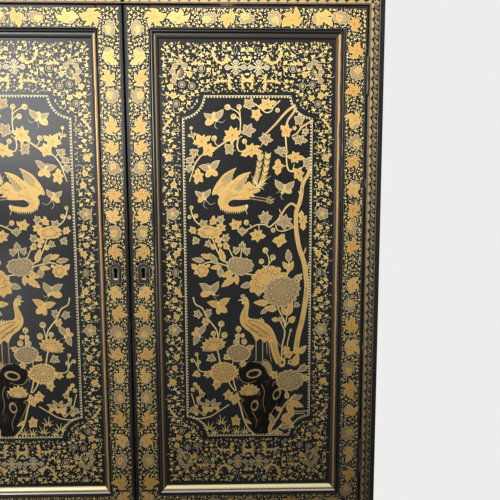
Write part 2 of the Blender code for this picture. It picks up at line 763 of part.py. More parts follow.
# Lock and slide bolts
def build_lock(right_axis, left_axis):
    """The lock inside the right door, its bolt, and the keeper on the left door."""
    front = DOOR_BACK + CLEAR
    edge = DOOR_MEETING + LOCK_SETBACK
    middle = KEYHOLE_Z - KEYHOLE_SLOT_DROP / 2 + BOLT_LIFT / 2
    lock = box(
        "lock_case",
        (edge, front, middle - LOCK_HEIGHT / 2),
        (edge + LOCK_WIDTH, front + LOCK_DEPTH, middle + LOCK_HEIGHT / 2),
        BRASS,
        SMALL_EDGE,
    )
    bolt_y = front + LOCK_DEPTH / 2
    bolt_z = KEYHOLE_Z + BOLT_LIFT
    half_y, half_z = BOLT_THICKNESS / 2, BOLT_HEIGHT / 2
    cut_box(
        lock,
        "lock_bolt_way",
        (edge - LOCK_WIDTH, bolt_y - half_y - CLEAR, bolt_z - half_z - CLEAR),
        (edge + BOLT_LENGTH + CLEAR, bolt_y + half_y + CLEAR, bolt_z + half_z + CLEAR),
    )
    way = slab_mesh("lock_keyhole", keyhole_outline(CLEAR), LOCK_DEPTH)
    cutter = bpy.data.objects.new("lock_keyhole", way)
    cutter.location = (KEYHOLE_X, front, KEYHOLE_Z)
    cutter.rotation_euler = (math.pi / 2, 0, 0)
    shape(lock, make_cutter(cutter))
    hang(lock, right_axis)
    slide = pivot("lock_bolt_way_axis", (edge, bolt_y, bolt_z))
    bolt = box(
        "lock_bolt",
        (edge, bolt_y - half_y, bolt_z - half_z),
        (edge + BOLT_LENGTH, bolt_y + half_y, bolt_z + half_z),
        BRASS,
        SMALL_EDGE,
    )
    hang(bolt, slide)
    keeper = box(
        "lock_keeper",
        (-edge, front, bolt_z - KEEPER_HEIGHT / 2),
        (-edge - KEEPER_WIDTH, front + LOCK_DEPTH, bolt_z + KEEPER_HEIGHT / 2),
        BRASS,
        SMALL_EDGE,
    )
    play = SLIDE_PLAY
    cut_box(
        keeper,
        "lock_keeper_socket",
        (-edge + KEEPER_WIDTH, bolt_y - half_y - play, bolt_z - half_z - play),
        (-edge - KEEPER_WIDTH + KEEPER_WALL, bolt_y + half_y + play, bolt_z + half_z + play),
    )
    hang(keeper, left_axis)


def build_slide_bolt(end, board, left_axis):
    """A slide bolt at the top or bottom of the left door, with its guide and socket."""
    name = f"{END_NAMES[end]}_slide_bolt"
    x = -KEYHOLE_X
    front = DOOR_BACK + CLEAR
    door_end = DOOR_HIGH if end > 0 else DOOR_LOW
    tip = door_end - end * SLIDE_SETBACK
    tail = tip - end * SLIDE_LENGTH
    near = door_end - end * GUIDE_FROM_END
    bar_y = front + (GUIDE_DEPTH - SLIDE_THICKNESS) / 2
    half = SLIDE_WIDTH / 2
    guide = box(
        f"{name}_guide",
        (x - GUIDE_WIDTH / 2, front, near),
        (x + GUIDE_WIDTH / 2, front + GUIDE_DEPTH, near - end * GUIDE_LENGTH),
        BRASS,
        SMALL_EDGE,
    )
    cut_box(
        guide,
        f"{name}_way",
        (x - half - CLEAR, bar_y - CLEAR, tip + end * SLIDE_LENGTH),
        (x + half + CLEAR, bar_y + SLIDE_THICKNESS + CLEAR, tail),
    )
    hang(guide, left_axis)
    slide = pivot(f"{name}_axis", (x, bar_y + SLIDE_THICKNESS / 2, tip))
    bolt = box(
        name,
        (x - half, bar_y, tip),
        (x + half, bar_y + SLIDE_THICKNESS, tail),
        BRASS,
        SMALL_EDGE,
    )
    knob_front = bar_y + SLIDE_THICKNESS / 2
    knob_back = front + GUIDE_DEPTH + KNOB_LENGTH
    knob = rod_cutter(
        f"{name}_knob",
        KNOB_RADIUS,
        knob_back - knob_front,
        (x, (knob_front + knob_back) / 2, tail + end * 2 * KNOB_RADIUS),
        (math.pi / 2, 0, 0),
    )
    shape(bolt, knob, "UNION")
    hang(bolt, slide)
    inner = CEILING_INNER if end > 0 else FLOOR_INNER
    cut_box(
        board,
        f"{name}_socket",
        (x - half - SLIDE_PLAY, bar_y - SLIDE_PLAY, inner - end * BOARD),
        (x + half + SLIDE_PLAY, bar_y + SLIDE_THICKNESS + SLIDE_PLAY, inner + end * SLIDE_SOCKET),
    )


# Stand
def top_rail_profile():
    """The section of the stand's top rail: a rounded outer edge and a seat for the case."""
    rim = STAND_MARGIN - SEAT_CLEAR
    seat = TOP_RAIL_THICKNESS - SEAT_DEPTH
    corner = RIM_ROUND
    points = [(TOP_RAIL_WIDTH, 0.0), (TOP_RAIL_WIDTH, seat), (rim, seat), (rim, TOP_RAIL_THICKNESS)]
    points += arc((corner, TOP_RAIL_THICKNESS - corner), corner, 90, 180, MOULDING_STEPS)
    points += arc((0.0, TOP_RAIL_THICKNESS - 2.6 * corner), corner / 2, 90, 0, MOULDING_STEPS)
    points += [(corner / 2, 0.0)]
    return points


def build_top_rails():
    """The four mitred rails that carry the case."""
    quarter = math.pi / 2
    spans = {
        "front": (STAND_WIDTH, (0, -STAND_DEPTH / 2), 0),
        "right": (STAND_DEPTH, (STAND_WIDTH / 2, 0), quarter),
        "rear": (STAND_WIDTH, (0, STAND_DEPTH / 2), 2 * quarter),
        "left": (STAND_DEPTH, (-STAND_WIDTH / 2, 0), 3 * quarter),
    }
    rails = {}
    for place, (length, (x, y), turn) in spans.items():
        name = f"stand_{place}_rail"
        rail = link(name, strip_mesh(name, top_rail_profile(), length - 2 * CLEAR), LACQUER)
        rail.location = (x, y, RAIL_BOTTOM)
        rail.rotation_euler = (0, 0, turn)
        rail.data.shade_smooth()
        rail.data.set_sharp_from_angle(angle=math.radians(35))
        rails[place] = rail
    return rails


def leg_width(level):
    """How far a leg reaches in from its outer corner, at a height above the floor."""
    knee = APRON_TOP - APRON_HEIGHT
    if level >= knee:
        return LEG_SIZE
    if level <= HOOF_HEIGHT:
        share = 1 - level / HOOF_HEIGHT
        return LEG_SLIM + (HOOF_SIZE - LEG_SLIM) * share**2.2
    share = (level - HOOF_HEIGHT) / (knee - HOOF_HEIGHT)
    return LEG_SLIM + (LEG_SIZE - LEG_SLIM) * share**3


def leg_levels():
    """Heights of a leg's sections: close together in the hoof and under the apron."""
    knee = APRON_TOP - APRON_HEIGHT
    lower = [HOOF_HEIGHT * n / (LEG_STEPS // 2) for n in range(LEG_STEPS // 2)]
    upper = [HOOF_HEIGHT + (knee - HOOF_HEIGHT) * n / (LEG_STEPS // 2) for n in range(LEG_STEPS // 2)]
    return lower + upper + [knee, APRON_TOP - CLEAR]


def leg_mesh(name):
    """A leg about its outer corner, reaching in towards +X and +Y."""
    rings = []
    for level in leg_levels():
        width = leg_width(level)
        rings.append([(0, 0, level), (0, width, level), (width, width, level), (width, 0, level)])
    return loft_mesh(name, rings)


def build_leg(side, end, rails):
    """A hoof-footed leg with a set-back post and a tenon into the top rails."""
    depth_name = "front" if end < 0 else "rear"
    name = f"{depth_name}_{SIDE_NAMES[side]}_leg"
    corner_x = side * (STAND_WIDTH / 2 - LEG_INSET)
    corner_y = end * (STAND_DEPTH / 2 - LEG_INSET)
    leg = link(name, leg_mesh(name), LACQUER)
    # Turn the leg so that it reaches in from its own corner of the stand
    turns = {(LEFT, -1): 0, (RIGHT, -1): 1, (RIGHT, 1): 2, (LEFT, 1): 3}
    leg.location = (corner_x, corner_y, 0)
    leg.rotation_euler = (0, 0, turns[side, end] * math.pi / 2)
    round_edges(leg, EDGE)
    step = WAIST_INSET - LEG_INSET
    inner = LEG_SIZE - CLEAR
    join_box(
        leg,
        f"{name}_post",
        (corner_x - side * step, corner_y - end * step, APRON_TOP - WAIST_HEIGHT),
        (corner_x - side * inner, corner_y - end * inner, RAIL_BOTTOM - CLEAR),
    )
    reach = (step + LEG_SIZE) / 2
    middle = Vector((corner_x - side * reach, corner_y - end * reach, RAIL_BOTTOM))
    half = Vector((LEG_TENON_SIZE / 2, LEG_TENON_SIZE / 2, 0))
    play = Vector((CLEAR, CLEAR, 0))
    down = Vector((0, 0, WAIST_HEIGHT))
    up = Vector((0, 0, LEG_TENON))
    join_box(leg, f"{name}_tenon", middle - half - down / 2, middle + half + up)
    for place in (depth_name, SIDE_NAMES[side]):
        cut_box(
            rails[place],
            f"stand_{place}_rail_{name}_mortise",
            middle - half - play - down,
            middle + half + play + up + Vector((0, 0, CLEAR)),
        )
    return leg


def apron_outline(length):
    """An apron's face: straight above, sweeping down to the legs and to a middle cusp below."""
    half = length / 2
    points = [(half, 0.0), (-half, 0.0)]
    for step in range(APRON_STEPS + 1):
        share = -1 + 2 * step / APRON_STEPS
        sweep = max(0.0, (abs(share) - 1 + APRON_SWEEP) / APRON_SWEEP)
        cusp = max(0.0, 1 - abs(share) / CUSP_SPREAD)
        drop = APRON_MIDDLE + (APRON_HEIGHT - APRON_MIDDLE) * sweep**2 + CUSP_DROP * cusp**1.6
        points.append((half * share, -drop))
    return points


def build_apron(place, legs):
    """An apron and its waist from one board, tenoned into two legs."""
    name = f"{place}_apron"
    across = place in ("front", "rear")
    sign = -1 if place in ("front", "left") else 1
    span = (STAND_WIDTH if across else STAND_DEPTH) - 2 * (LEG_INSET + LEG_SIZE) - 2 * CLEAR
    outer = (STAND_DEPTH if across else STAND_WIDTH) / 2 - APRON_INSET
    middle = sign * (outer - APRON_THICKNESS / 2)
    apron = link(name, slab_mesh(name, apron_outline(span), APRON_THICKNESS), LACQUER)
    apron.rotation_euler = (math.pi / 2, 0, 0 if across else math.pi / 2)
    apron.location = (0, middle, APRON_TOP) if across else (middle, 0, APRON_TOP)
    round_edges(apron, EDGE)

    def corner(along, through, level):
        """A point in the apron's own run, depth and height."""
        return (along, through, level) if across else (through, along, level)

    waist_outer = sign * (outer + APRON_INSET - WAIST_INSET)
    waist_inner = sign * (outer - APRON_THICKNESS + 2 * EDGE)
    join_box(
        apron,
        f"{name}_waist",
        corner(CLEAR - span / 2, waist_outer, APRON_TOP - WAIST_HEIGHT / 2),
        corner(span / 2 - CLEAR, waist_inner, RAIL_BOTTOM - CLEAR),
    )
    tenon = APRON_TENON_THICKNESS / 2
    low, high = APRON_TOP - APRON_HEIGHT + APRON_TENON_SHOULDER, APRON_TOP - APRON_TENON_SHOULDER
    reach = span / 2 + APRON_TENON
    for end, leg in zip((-1, 1), legs):
        join_box(
            apron,
            f"{name}_tenon_{leg.name}",
            corner(end * (span / 2 - APRON_TENON), middle - tenon, low),
            corner(end * reach, middle + tenon, high),
        )
        cut_box(
            leg,
            f"{leg.name}_{name}_mortise",
            corner(end * (span / 2 - APRON_TENON), middle - tenon - CLEAR, low - CLEAR),
            corner(end * (reach + CLEAR), middle + tenon + CLEAR, high + CLEAR),
        )


def build_stand():
    """The rails, legs and aprons."""
    rails = build_top_rails()
    legs = {(side, end): build_leg(side, end, rails) for side in (LEFT, RIGHT) for end in (-1, 1)}
    build_apron("front", [legs[LEFT, -1], legs[RIGHT, -1]])
    build_apron("rear", [legs[LEFT, 1], legs[RIGHT, 1]])
    build_apron("left", [legs[LEFT, -1], legs[LEFT, 1]])
    build_apron("right", [legs[RIGHT, -1], legs[RIGHT, 1]])


def main():
    """Build the stand, the case, the doors and their hardware."""
    build_stand()
    boards = build_boards()
    sides = {side: build_side(side) for side in (LEFT, RIGHT)}
    build_inside(boards[1])
    axes = {}
    for side in (LEFT, RIGHT):
        axes[side], hinge_stile = build_door(side)
        for end in (-1, 1):
            build_hinge(side, end, sides[side], hinge_stile, axes[side])
    build_lock(axes[RIGHT], axes[LEFT])
    for end, board in boards.items():
        build_slide_bolt(end, board, axes[LEFT])


main()
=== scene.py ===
"""Looks of a black lacquered cabinet on a stand, dressed in gilt bird-and-flower ornament.

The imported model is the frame. The ornament is low relief laid on it in several tones of leaf, with bead
lines, repeat bands and screws from Geometry Nodes, and a procedural finish on every surface.
"""

from __future__ import annotations

import json
import logging
import math
import random
from dataclasses import dataclass, field
from enum import Enum
from functools import partial
from typing import Callable, Iterable, Optional, Sequence, Union

import bpy
import numpy as np
from mathutils import Matrix, Vector

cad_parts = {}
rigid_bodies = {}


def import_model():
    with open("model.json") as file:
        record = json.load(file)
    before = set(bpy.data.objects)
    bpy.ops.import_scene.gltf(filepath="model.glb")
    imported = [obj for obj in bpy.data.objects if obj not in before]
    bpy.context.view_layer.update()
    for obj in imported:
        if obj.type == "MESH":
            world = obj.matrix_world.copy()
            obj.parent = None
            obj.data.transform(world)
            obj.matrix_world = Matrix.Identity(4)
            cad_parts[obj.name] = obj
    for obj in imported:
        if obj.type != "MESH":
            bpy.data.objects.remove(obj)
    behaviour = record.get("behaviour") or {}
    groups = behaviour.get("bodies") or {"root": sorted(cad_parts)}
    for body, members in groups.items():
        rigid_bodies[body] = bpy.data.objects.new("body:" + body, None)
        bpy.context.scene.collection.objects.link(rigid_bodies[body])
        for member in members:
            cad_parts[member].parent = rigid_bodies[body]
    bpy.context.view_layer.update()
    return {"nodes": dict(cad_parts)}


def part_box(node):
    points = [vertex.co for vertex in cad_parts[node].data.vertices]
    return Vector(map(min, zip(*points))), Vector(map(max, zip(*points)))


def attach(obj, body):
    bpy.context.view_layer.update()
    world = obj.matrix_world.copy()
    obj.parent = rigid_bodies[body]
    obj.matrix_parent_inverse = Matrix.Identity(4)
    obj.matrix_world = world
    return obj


for leftover in list(bpy.data.objects):
    bpy.data.objects.remove(leftover)
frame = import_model()

logging.basicConfig(level=logging.INFO, format="%(message)s")
LOG = logging.getLogger("cabinet")

MM = 0.001
TINY = 1e-9  # keeps a length from being zero
BAKE_MAP = "OFBake"

Colour = tuple[float, float, float, float]
Point = tuple[float, float]
Points = Union[Sequence[Point], np.ndarray]


class Tone(Enum):
    """The tones of leaf and paint in the ornament."""

    GOLD = "gold"
    AMBER = "amber"
    PALE = "pale"
    SILVER = "silver"
    CREAM = "cream"
    BRIGHT = "bright"
    INK = "ink"
    ROCK = "rock"


Drawing = dict[Tone, bpy.types.Mesh]


class Facing(Enum):
    """The way that a face of the cabinet looks: its right, up and outward directions."""

    FRONT = ((1, 0, 0), (0, 0, 1), (0, -1, 0))
    FRONT_MIRRORED = ((-1, 0, 0), (0, 0, 1), (0, -1, 0))
    RIGHT = ((0, 1, 0), (0, 0, 1), (1, 0, 0))
    RIGHT_MIRRORED = ((0, -1, 0), (0, 0, 1), (1, 0, 0))
    LEFT = ((0, -1, 0), (0, 0, 1), (-1, 0, 0))
    LEFT_MIRRORED = ((0, 1, 0), (0, 0, 1), (-1, 0, 0))


FRONTS = (("right", Facing.FRONT), ("left", Facing.FRONT_MIRRORED))


def placed(name: str, data: bpy.types.ID) -> bpy.types.Object:
    """A new object in the scene."""
    made = bpy.data.objects.new(name, data)
    bpy.context.scene.collection.objects.link(made)
    return made


def plain_mesh(name: str, points: Sequence, edges: Sequence = (), faces: Sequence = ()) -> bpy.types.Mesh:
    """A mesh from its points, edges and faces."""
    made = bpy.data.meshes.new(name)
    made.from_pydata(points, edges, faces)
    return made


# Shader maths
class Sock:
    """A shader socket that takes part in Python expressions."""

    def __init__(self, shader: "Shader", socket: bpy.types.NodeSocket) -> None:
        """Keep the socket and the shader that it belongs to."""
        self.shader = shader
        self.socket = socket

    def _math(self, operation: str, left: "Value", right: "Value") -> "Sock":
        """Add one Math node."""
        return self.shader.node("ShaderNodeMath", {"operation": operation}, {0: left, 1: right})

    def __add__(self, other: "Value") -> "Sock":
        """Sum."""
        return self._math("ADD", self, other)

    def __radd__(self, other: "Value") -> "Sock":
        """Sum with a number on the left."""
        return self._math("ADD", other, self)

    def __sub__(self, other: "Value") -> "Sock":
        """Difference."""
        return self._math("SUBTRACT", self, other)

    def __rsub__(self, other: "Value") -> "Sock":
        """Difference with a number on the left."""
        return self._math("SUBTRACT", other, self)

    def __mul__(self, other: "Value") -> "Sock":
        """Product."""
        return self._math("MULTIPLY", self, other)

    def __rmul__(self, other: "Value") -> "Sock":
        """Product with a number on the left."""
        return self._math("MULTIPLY", other, self)

    def least(self, other: "Value") -> "Sock":
        """The smaller of two values."""
        return self._math("MINIMUM", self, other)

    def most(self, other: "Value") -> "Sock":
        """The larger of two values."""
        return self._math("MAXIMUM", self, other)

    def step(self, start: float, end: float) -> "Sock":
        """A smooth step from 0 at start to 1 at end.

        Args:
            start: the value that gives 0.
            end: the value that gives 1; it may lie below start.

        Returns:
            The step, held between 0 and 1.
        """
        settings = {"interpolation_type": "SMOOTHSTEP"}
        if start <= end:
            return self.shader.node("ShaderNodeMapRange", settings, {0: self, 1: start, 2: end})
        return 1 - self.shader.node("ShaderNodeMapRange", settings, {0: self, 1: end, 2: start})


Value = Union[float, Colour, tuple[float, float, float], Sock]


class Shader:
    """A material whose nodes are made from Python expressions."""

    MIX_FIRST, MIX_SECOND, MIX_COLOUR = 6, 7, 2  # the Mix node's sockets for colours
    SEEN_BY = ("Is Camera Ray", "Is Glossy Ray", "Is Transmission Ray")

    def __init__(self, name: str) -> None:
        """Make a material with a Principled shader alone."""
        self.material = bpy.data.materials.new(name)
        self.material.use_nodes = True
        self.tree = self.material.node_tree
        self.surface = next(n for n in self.tree.nodes if n.type == "BSDF_PRINCIPLED")
        self.place = self.node("ShaderNodeTexCoord", output="Object")

    def node(
        self,
        kind: str,
        settings: Optional[dict[str, object]] = None,
        sockets: Optional[dict[Union[int, str], Value]] = None,
        output: Union[int, str] = 0,
    ) -> Sock:
        """Add a node.

        Args:
            kind: the node's type.
            settings: its properties, set before its sockets.
            sockets: values or links of its inputs.
            output: which output to return.

        Returns:
            The chosen output.
        """
        made = self.tree.nodes.new(kind)
        for label, value in (settings or {}).items():
            setattr(made, label, value)
        for label, value in (sockets or {}).items():
            self.feed(made.inputs[label], value)
        return Sock(self, made.outputs[output])

    def feed(self, target: bpy.types.NodeSocket, value: Value) -> None:
        """Link a socket, or set its value."""
        if isinstance(value, Sock):
            self.tree.links.new(value.socket, target)
        else:
            target.default_value = value

    def dress(self, **sockets: Value) -> bpy.types.Material:
        """Feed the Principled shader.

        Args:
            sockets: values by socket name, with underscores for spaces.

        Returns:
            The finished material.
        """
        for label, value in sockets.items():
            self.feed(self.surface.inputs[label.replace("_", " ")], value)
        return self.material

    def noise(self, scale: float, detail: float, stretch: tuple[float, float, float] = (1, 1, 1)) -> Sock:
        """Noise over the object's own coordinates.

        Args:
            scale: features per metre, roughly.
            detail: octaves of finer noise.
            stretch: factors on the three axes.

        Returns:
            The noise, from 0 to 1.
        """
        where = self.node("ShaderNodeMapping", sockets={"Vector": self.place, "Scale": stretch})
        sockets = {"Vector": where, "Scale": scale, "Detail": detail}
        return self.node("ShaderNodeTexNoise", sockets=sockets)

    def mix(self, share: Value, first: Value, second: Value) -> Sock:
        """Blend two colours by a share."""
        sockets = {0: share, self.MIX_FIRST: first, self.MIX_SECOND: second}
        return self.node("ShaderNodeMix", {"data_type": "RGBA"}, sockets, self.MIX_COLOUR)

    def seen(self) -> Sock:
        """1 for what is seen directly, in a reflection or through glass, 0 for what only lights."""
        rays = [self.node("ShaderNodeLightPath", output=ray) for ray in self.SEEN_BY]
        return rays[0].most(rays[1]).most(rays[2])

    def axes(self) -> tuple[Sock, Sock, Sock]:
        """The object's X, Y and Z as values."""
        parts = [self.node("ShaderNodeSeparateXYZ", sockets={0: self.place}, output=i) for i in range(3)]
        return parts[0], parts[1], parts[2]

    def bump(self, height: Sock, strength: float, distance: float) -> Sock:
        """A normal bent by a height."""
        sockets = {"Strength": strength, "Distance": distance, "Height": height}
        return self.node("ShaderNodeBump", sockets=sockets)

    def edge_distance(self, low: Vector, high: Vector) -> Sock:
        """How far a point on a box's face lies from the nearest edge.

        Args:
            low: the box's lowest corner.
            high: the box's highest corner.

        Returns:
            The distance in metres.
        """
        x, y, z = [(axis - a).least(b - axis) for axis, a, b in zip(self.axes(), low, high)]
        return x.least(y).most(x.most(y).least(z))


class Surround(Shader):
    """The world's nodes."""

    def __init__(self) -> None:
        """Take the scene's world with its Background shader alone."""
        world = bpy.context.scene.world or bpy.data.worlds.new("world")
        bpy.context.scene.world = world
        world.use_nodes = True
        self.tree = world.node_tree
        self.surface = next(n for n in self.tree.nodes if n.type == "BACKGROUND")


# Finishes
def srgb(red: int, green: int, blue: int) -> Colour:
    """A linear colour from the screen values of a photograph."""
    linear = [
        c / 12.92 if c <= 0.04045 else ((c + 0.055) / 1.055) ** 2.4
        for c in (red / 255, green / 255, blue / 255)
    ]
    return linear[0], linear[1], linear[2], 1.0


@dataclass(frozen=True)
class LacquerFinish:
    """Old lacquer: deep black with a soft bloom, rubbed and chipped along its edges."""

    name: str
    colour: Colour = srgb(22, 22, 22)
    bloom: Colour = srgb(34, 35, 35)
    rubbed: Colour = srgb(70, 52, 38)
    chip: Colour = srgb(196, 182, 158)
    roughness: float = 0.30
    gloss: float = 0.22
    gilt: Colour = srgb(204, 166, 96)
    edge: float = 1.6 * MM
    line: tuple[float, float] = (0.8 * MM, 0.5 * MM)  # a gilt line's half width, with and without its blur

    def material(self, node: str, rule: Optional[float] = None) -> bpy.types.Material:
        """The finish fitted to one solid.

        Args:
            node: the solid's name; its box places the worn edges.
            rule: how far from the edges a gilt line is painted, none if left out.

        Returns:
            The material.
        """
        shader = Shader(f"{self.name}_{node}")
        low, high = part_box(node)
        cloud = shader.noise(4.0, 4.0)
        grain = shader.noise(240.0, 4.0)
        patch = shader.noise(26.0, 5.0)
        scratch = shader.noise(30.0, 3.0, (1.0, 1.0, 26.0)).step(0.66, 0.74) * cloud.step(0.45, 0.6)
        gap = shader.edge_distance(low, high)
        edge = gap + (grain - 0.5) * (1.4 * MM)
        rubbed = edge.step(self.edge, 0.2 * MM) * patch.step(0.40, 0.62)
        chipped = edge.step(0.75 * self.edge, 0.3 * MM) * patch.step(0.63, 0.67)
        colour = shader.mix(cloud.step(0.35, 0.75), self.colour, self.bloom)
        if rule is not None:
            half, core = self.line
            line = gap.step(rule - half, rule - core) * gap.step(rule + half, rule + core)
            colour = shader.mix(line * (1 - patch.step(0.56, 0.70) * 0.8), colour, self.gilt)
        colour = shader.mix(rubbed * 0.75, colour, self.rubbed)
        colour = shader.mix(chipped, colour, self.chip)
        roughness = self.roughness + (cloud - 0.5) * 0.16 + (grain - 0.5) * 0.10
        roughness = roughness + rubbed * 0.25 + scratch * 0.1
        height = grain * 0.35 + patch * 0.65 - chipped * 0.8
        return shader.dress(
            Base_Color=colour,
            Roughness=roughness,
            Normal=shader.bump(height, 0.05, 0.4 * MM),
            Specular_IOR_Level=self.gloss,
        )


@dataclass(frozen=True)
class GiltFinish:
    """One tone of leaf or paint on the ornament, thinned by handling."""

    name: str
    colour: Colour
    thin: Colour
    metallic: float
    roughness: float
    wear: float = 0.30
    gloss: float = 0.5

    def material(self) -> bpy.types.Material:
        """The finish as a material."""
        shader = Shader(f"gilt_{self.name}")
        patch = shader.noise(90.0, 5.0)
        speck = shader.noise(900.0, 3.0)
        broad = shader.noise(9.0, 3.0)
        thinned = (patch * 0.6 + speck * 0.4).step(0.52, 0.70) * (0.35 + broad * 0.9) * self.wear
        roughness = self.roughness + (speck - 0.5) * 0.2 + thinned * 0.25
        return shader.dress(
            Base_Color=shader.mix(thinned, self.colour, self.thin),
            Metallic=self.metallic - thinned * self.metallic * 0.6,
            Roughness=roughness,
            Normal=shader.bump(speck * 0.6 + patch * 0.4, 0.12, 0.15 * MM),
            Specular_IOR_Level=self.gloss,
        )


GILT_FINISHES = {
    Tone.GOLD: GiltFinish("gold", srgb(234, 188, 106), srgb(166, 116, 52), 0.20, 0.48),
    Tone.AMBER: GiltFinish("amber", srgb(226, 174, 92), srgb(150, 98, 44), 0.20, 0.48),
    Tone.PALE: GiltFinish("pale", srgb(190, 163, 112), srgb(124, 100, 64), 0.12, 0.50),
    Tone.SILVER: GiltFinish("silver", srgb(190, 178, 148), srgb(128, 112, 84), 0.15, 0.48),
    Tone.CREAM: GiltFinish("cream", srgb(250, 233, 180), srgb(196, 160, 98), 0.10, 0.48),
    Tone.BRIGHT: GiltFinish("bright", srgb(247, 219, 136), srgb(190, 140, 66), 0.15, 0.48),
    Tone.INK: GiltFinish("ink", srgb(128, 85, 38), srgb(84, 54, 26), 0.0, 0.55),
    Tone.ROCK: GiltFinish("rock", srgb(17, 14, 13), srgb(78, 64, 54), 0.0, 0.55, 1.3, 0.08),
}


class Across(Enum):
    """How a panel moulding lies: the axis across it, and the way from the frame to the panel."""

    LEFT = (0, 1)
    RIGHT = (0, -1)
    BOTTOM = (2, 1)
    TOP = (2, -1)


@dataclass(frozen=True)
class ShadedGilding:
    """The gilding on one side's moulding and the bead beside it, with colours that paint the light and shade
    on that side; distances are from the frame.
    """

    colour: Colour
    start: float
    end: float
    metal: float
    bead: Colour = srgb(24, 23, 23)
    bead_metal: float = 0.0


# Painted light and shade: each side's colours follow how light from above on the left falls on it. The top is
# nearly black because it faces down, the left is dim, the right is bright, and the bottom is cream-white. The
# bottom bead's near-white colour is a painted highlight.
SHADED_GILDINGS = {
    Across.LEFT: ShadedGilding(srgb(140, 118, 82), 4.7 * MM, 6.7 * MM, 0.30),
    Across.RIGHT: ShadedGilding(srgb(232, 188, 120), 3.4 * MM, 5.7 * MM, 0.30),
    Across.TOP: ShadedGilding(srgb(34, 33, 31), 4.2 * MM, 7.0 * MM, 0.0),
    Across.BOTTOM: ShadedGilding(srgb(255, 238, 186), 4.2 * MM, 11.2 * MM, 0.85, srgb(240, 230, 226), 0.45),
}


@dataclass(frozen=True)
class MouldingFinish:
    """A bead beside gilding, with painted light and shade: brightest below and on the right, where the light
    falls, and darkest on the top.
    """

    bole: Colour = srgb(46, 32, 19)

    def material(self, node: str, across: Across) -> bpy.types.Material:
        """The finish fitted to one moulding.

        Args:
            node: the moulding's name.
            across: how it lies.

        Returns:
            The material.
        """
        shader = Shader(f"moulding_{node}")
        axis, way = across.value
        side = SHADED_GILDINGS[across]
        low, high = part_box(node)
        run = shader.axes()[axis]
        from_frame = run - low[axis] if way > 0 else high[axis] - run
        patch = shader.noise(34.0, 5.0)
        grain = shader.noise(420.0, 3.0)
        edge = from_frame + (grain - 0.5) * (0.6 * MM) + (patch - 0.5) * (1.2 * MM)
        gilded = edge.step(side.start, side.start + 0.5 * MM)
        seam = from_frame.step(side.start - 0.7 * MM, side.start - 0.3 * MM)
        spots = (patch * 0.7 + grain * 0.3).step(0.60, 0.72) * 0.5
        worn = edge.step(side.end, side.end + 1.4 * MM).most(spots)
        # The side's leaf and bead colours are painted light and shade, with a painted highlight on the bottom
        # bead.
        leaf = shader.mix(worn, side.colour, self.bole)
        bead = shader.mix(seam, side.bead, self.bole)
        return shader.dress(
            Base_Color=shader.mix(gilded, bead, leaf),
            Metallic=gilded * (side.metal - worn * side.metal) + (1 - gilded) * (1 - seam) * side.bead_metal,
            Roughness=0.20 + gilded * 0.20 + worn * 0.2 + (grain - 0.5) * 0.12,
            Normal=shader.bump(grain * 0.5 + patch * 0.5, 0.1, 0.3 * MM),
            Specular_IOR_Level=0.5,
        )


@dataclass(frozen=True)
class MetalFinish:
    """Aged hardware metal, brighter where it is handled."""

    name: str
    colour: Colour
    tarnish: Colour
    roughness: float

    def material(self) -> bpy.types.Material:
        """The finish as a material."""
        shader = Shader(f"metal_{self.name}")
        cloud = shader.noise(70.0, 5.0)
        grain = shader.noise(1400.0, 2.0)
        brushed = shader.noise(260.0, 2.0, (1.0, 1.0, 18.0))
        dull = cloud.step(0.38, 0.66)
        return shader.dress(
            Base_Color=shader.mix(dull, self.colour, self.tarnish),
            Metallic=0.95 - dull * 0.35,
            Roughness=self.roughness + dull * 0.16 + (grain - 0.5) * 0.12,
            Normal=shader.bump(brushed * 0.6 + grain * 0.4, 0.12, 0.1 * MM),
        )


LACQUER = LacquerFinish("lacquer")
INNER_LACQUER = LacquerFinish("inner_lacquer", srgb(36, 25, 22), srgb(54, 40, 35), roughness=0.46)
MOULDING = MouldingFinish()
BRASS = MetalFinish("brass", srgb(176, 146, 88), srgb(98, 76, 44), 0.32)
BRONZE = MetalFinish("bronze", srgb(70, 66, 62), srgb(38, 36, 36), 0.42)
RIM = MetalFinish("rim", srgb(134, 126, 120), srgb(76, 72, 68), 0.36)
# Painted highlight: near-white metal for the strip below each keyhole. It stands in for a glint, not for
# wear.
GLINT_METAL = MetalFinish("worn", srgb(236, 228, 218), srgb(170, 160, 150), 0.30)


# Flat drawing
def spline(points: Points, closed: bool = False, steps: int = 4) -> np.ndarray:
    """A smooth curve through points.

    Args:
        points: the points to pass through.
        closed: whether the curve returns to its start.
        steps: points made for each span.

    Returns:
        The curve's points.
    """
    knots = np.asarray(points, float)
    count = len(knots)
    if closed:
        padded = np.vstack([knots[-1], knots, knots[0], knots[1]])
        spans = count
    else:
        padded = np.vstack([2 * knots[0] - knots[1], knots, 2 * knots[-1] - knots[-2]])
        spans = count - 1
    share = (np.arange(steps) / steps)[:, None]
    runs = []
    for i in range(spans):
        a, b, c, d = padded[i : i + 4]
        curve = 2 * b + (c - a) * share + (2 * a - 5 * b + 4 * c - d) * share**2
        runs.append(0.5 * (curve + (3 * b - a - 3 * c + d) * share**3))
    if not closed:
        runs.append(knots[-1:])
    return np.vstack(runs)


def turned(loop: np.ndarray) -> np.ndarray:
    """A loop that runs anticlockwise."""
    x, y = loop[:, 0], loop[:, 1]
    signed = np.dot(x, np.roll(y, -1)) - np.dot(y, np.roll(x, -1))
    return loop if signed > 0 else loop[::-1]


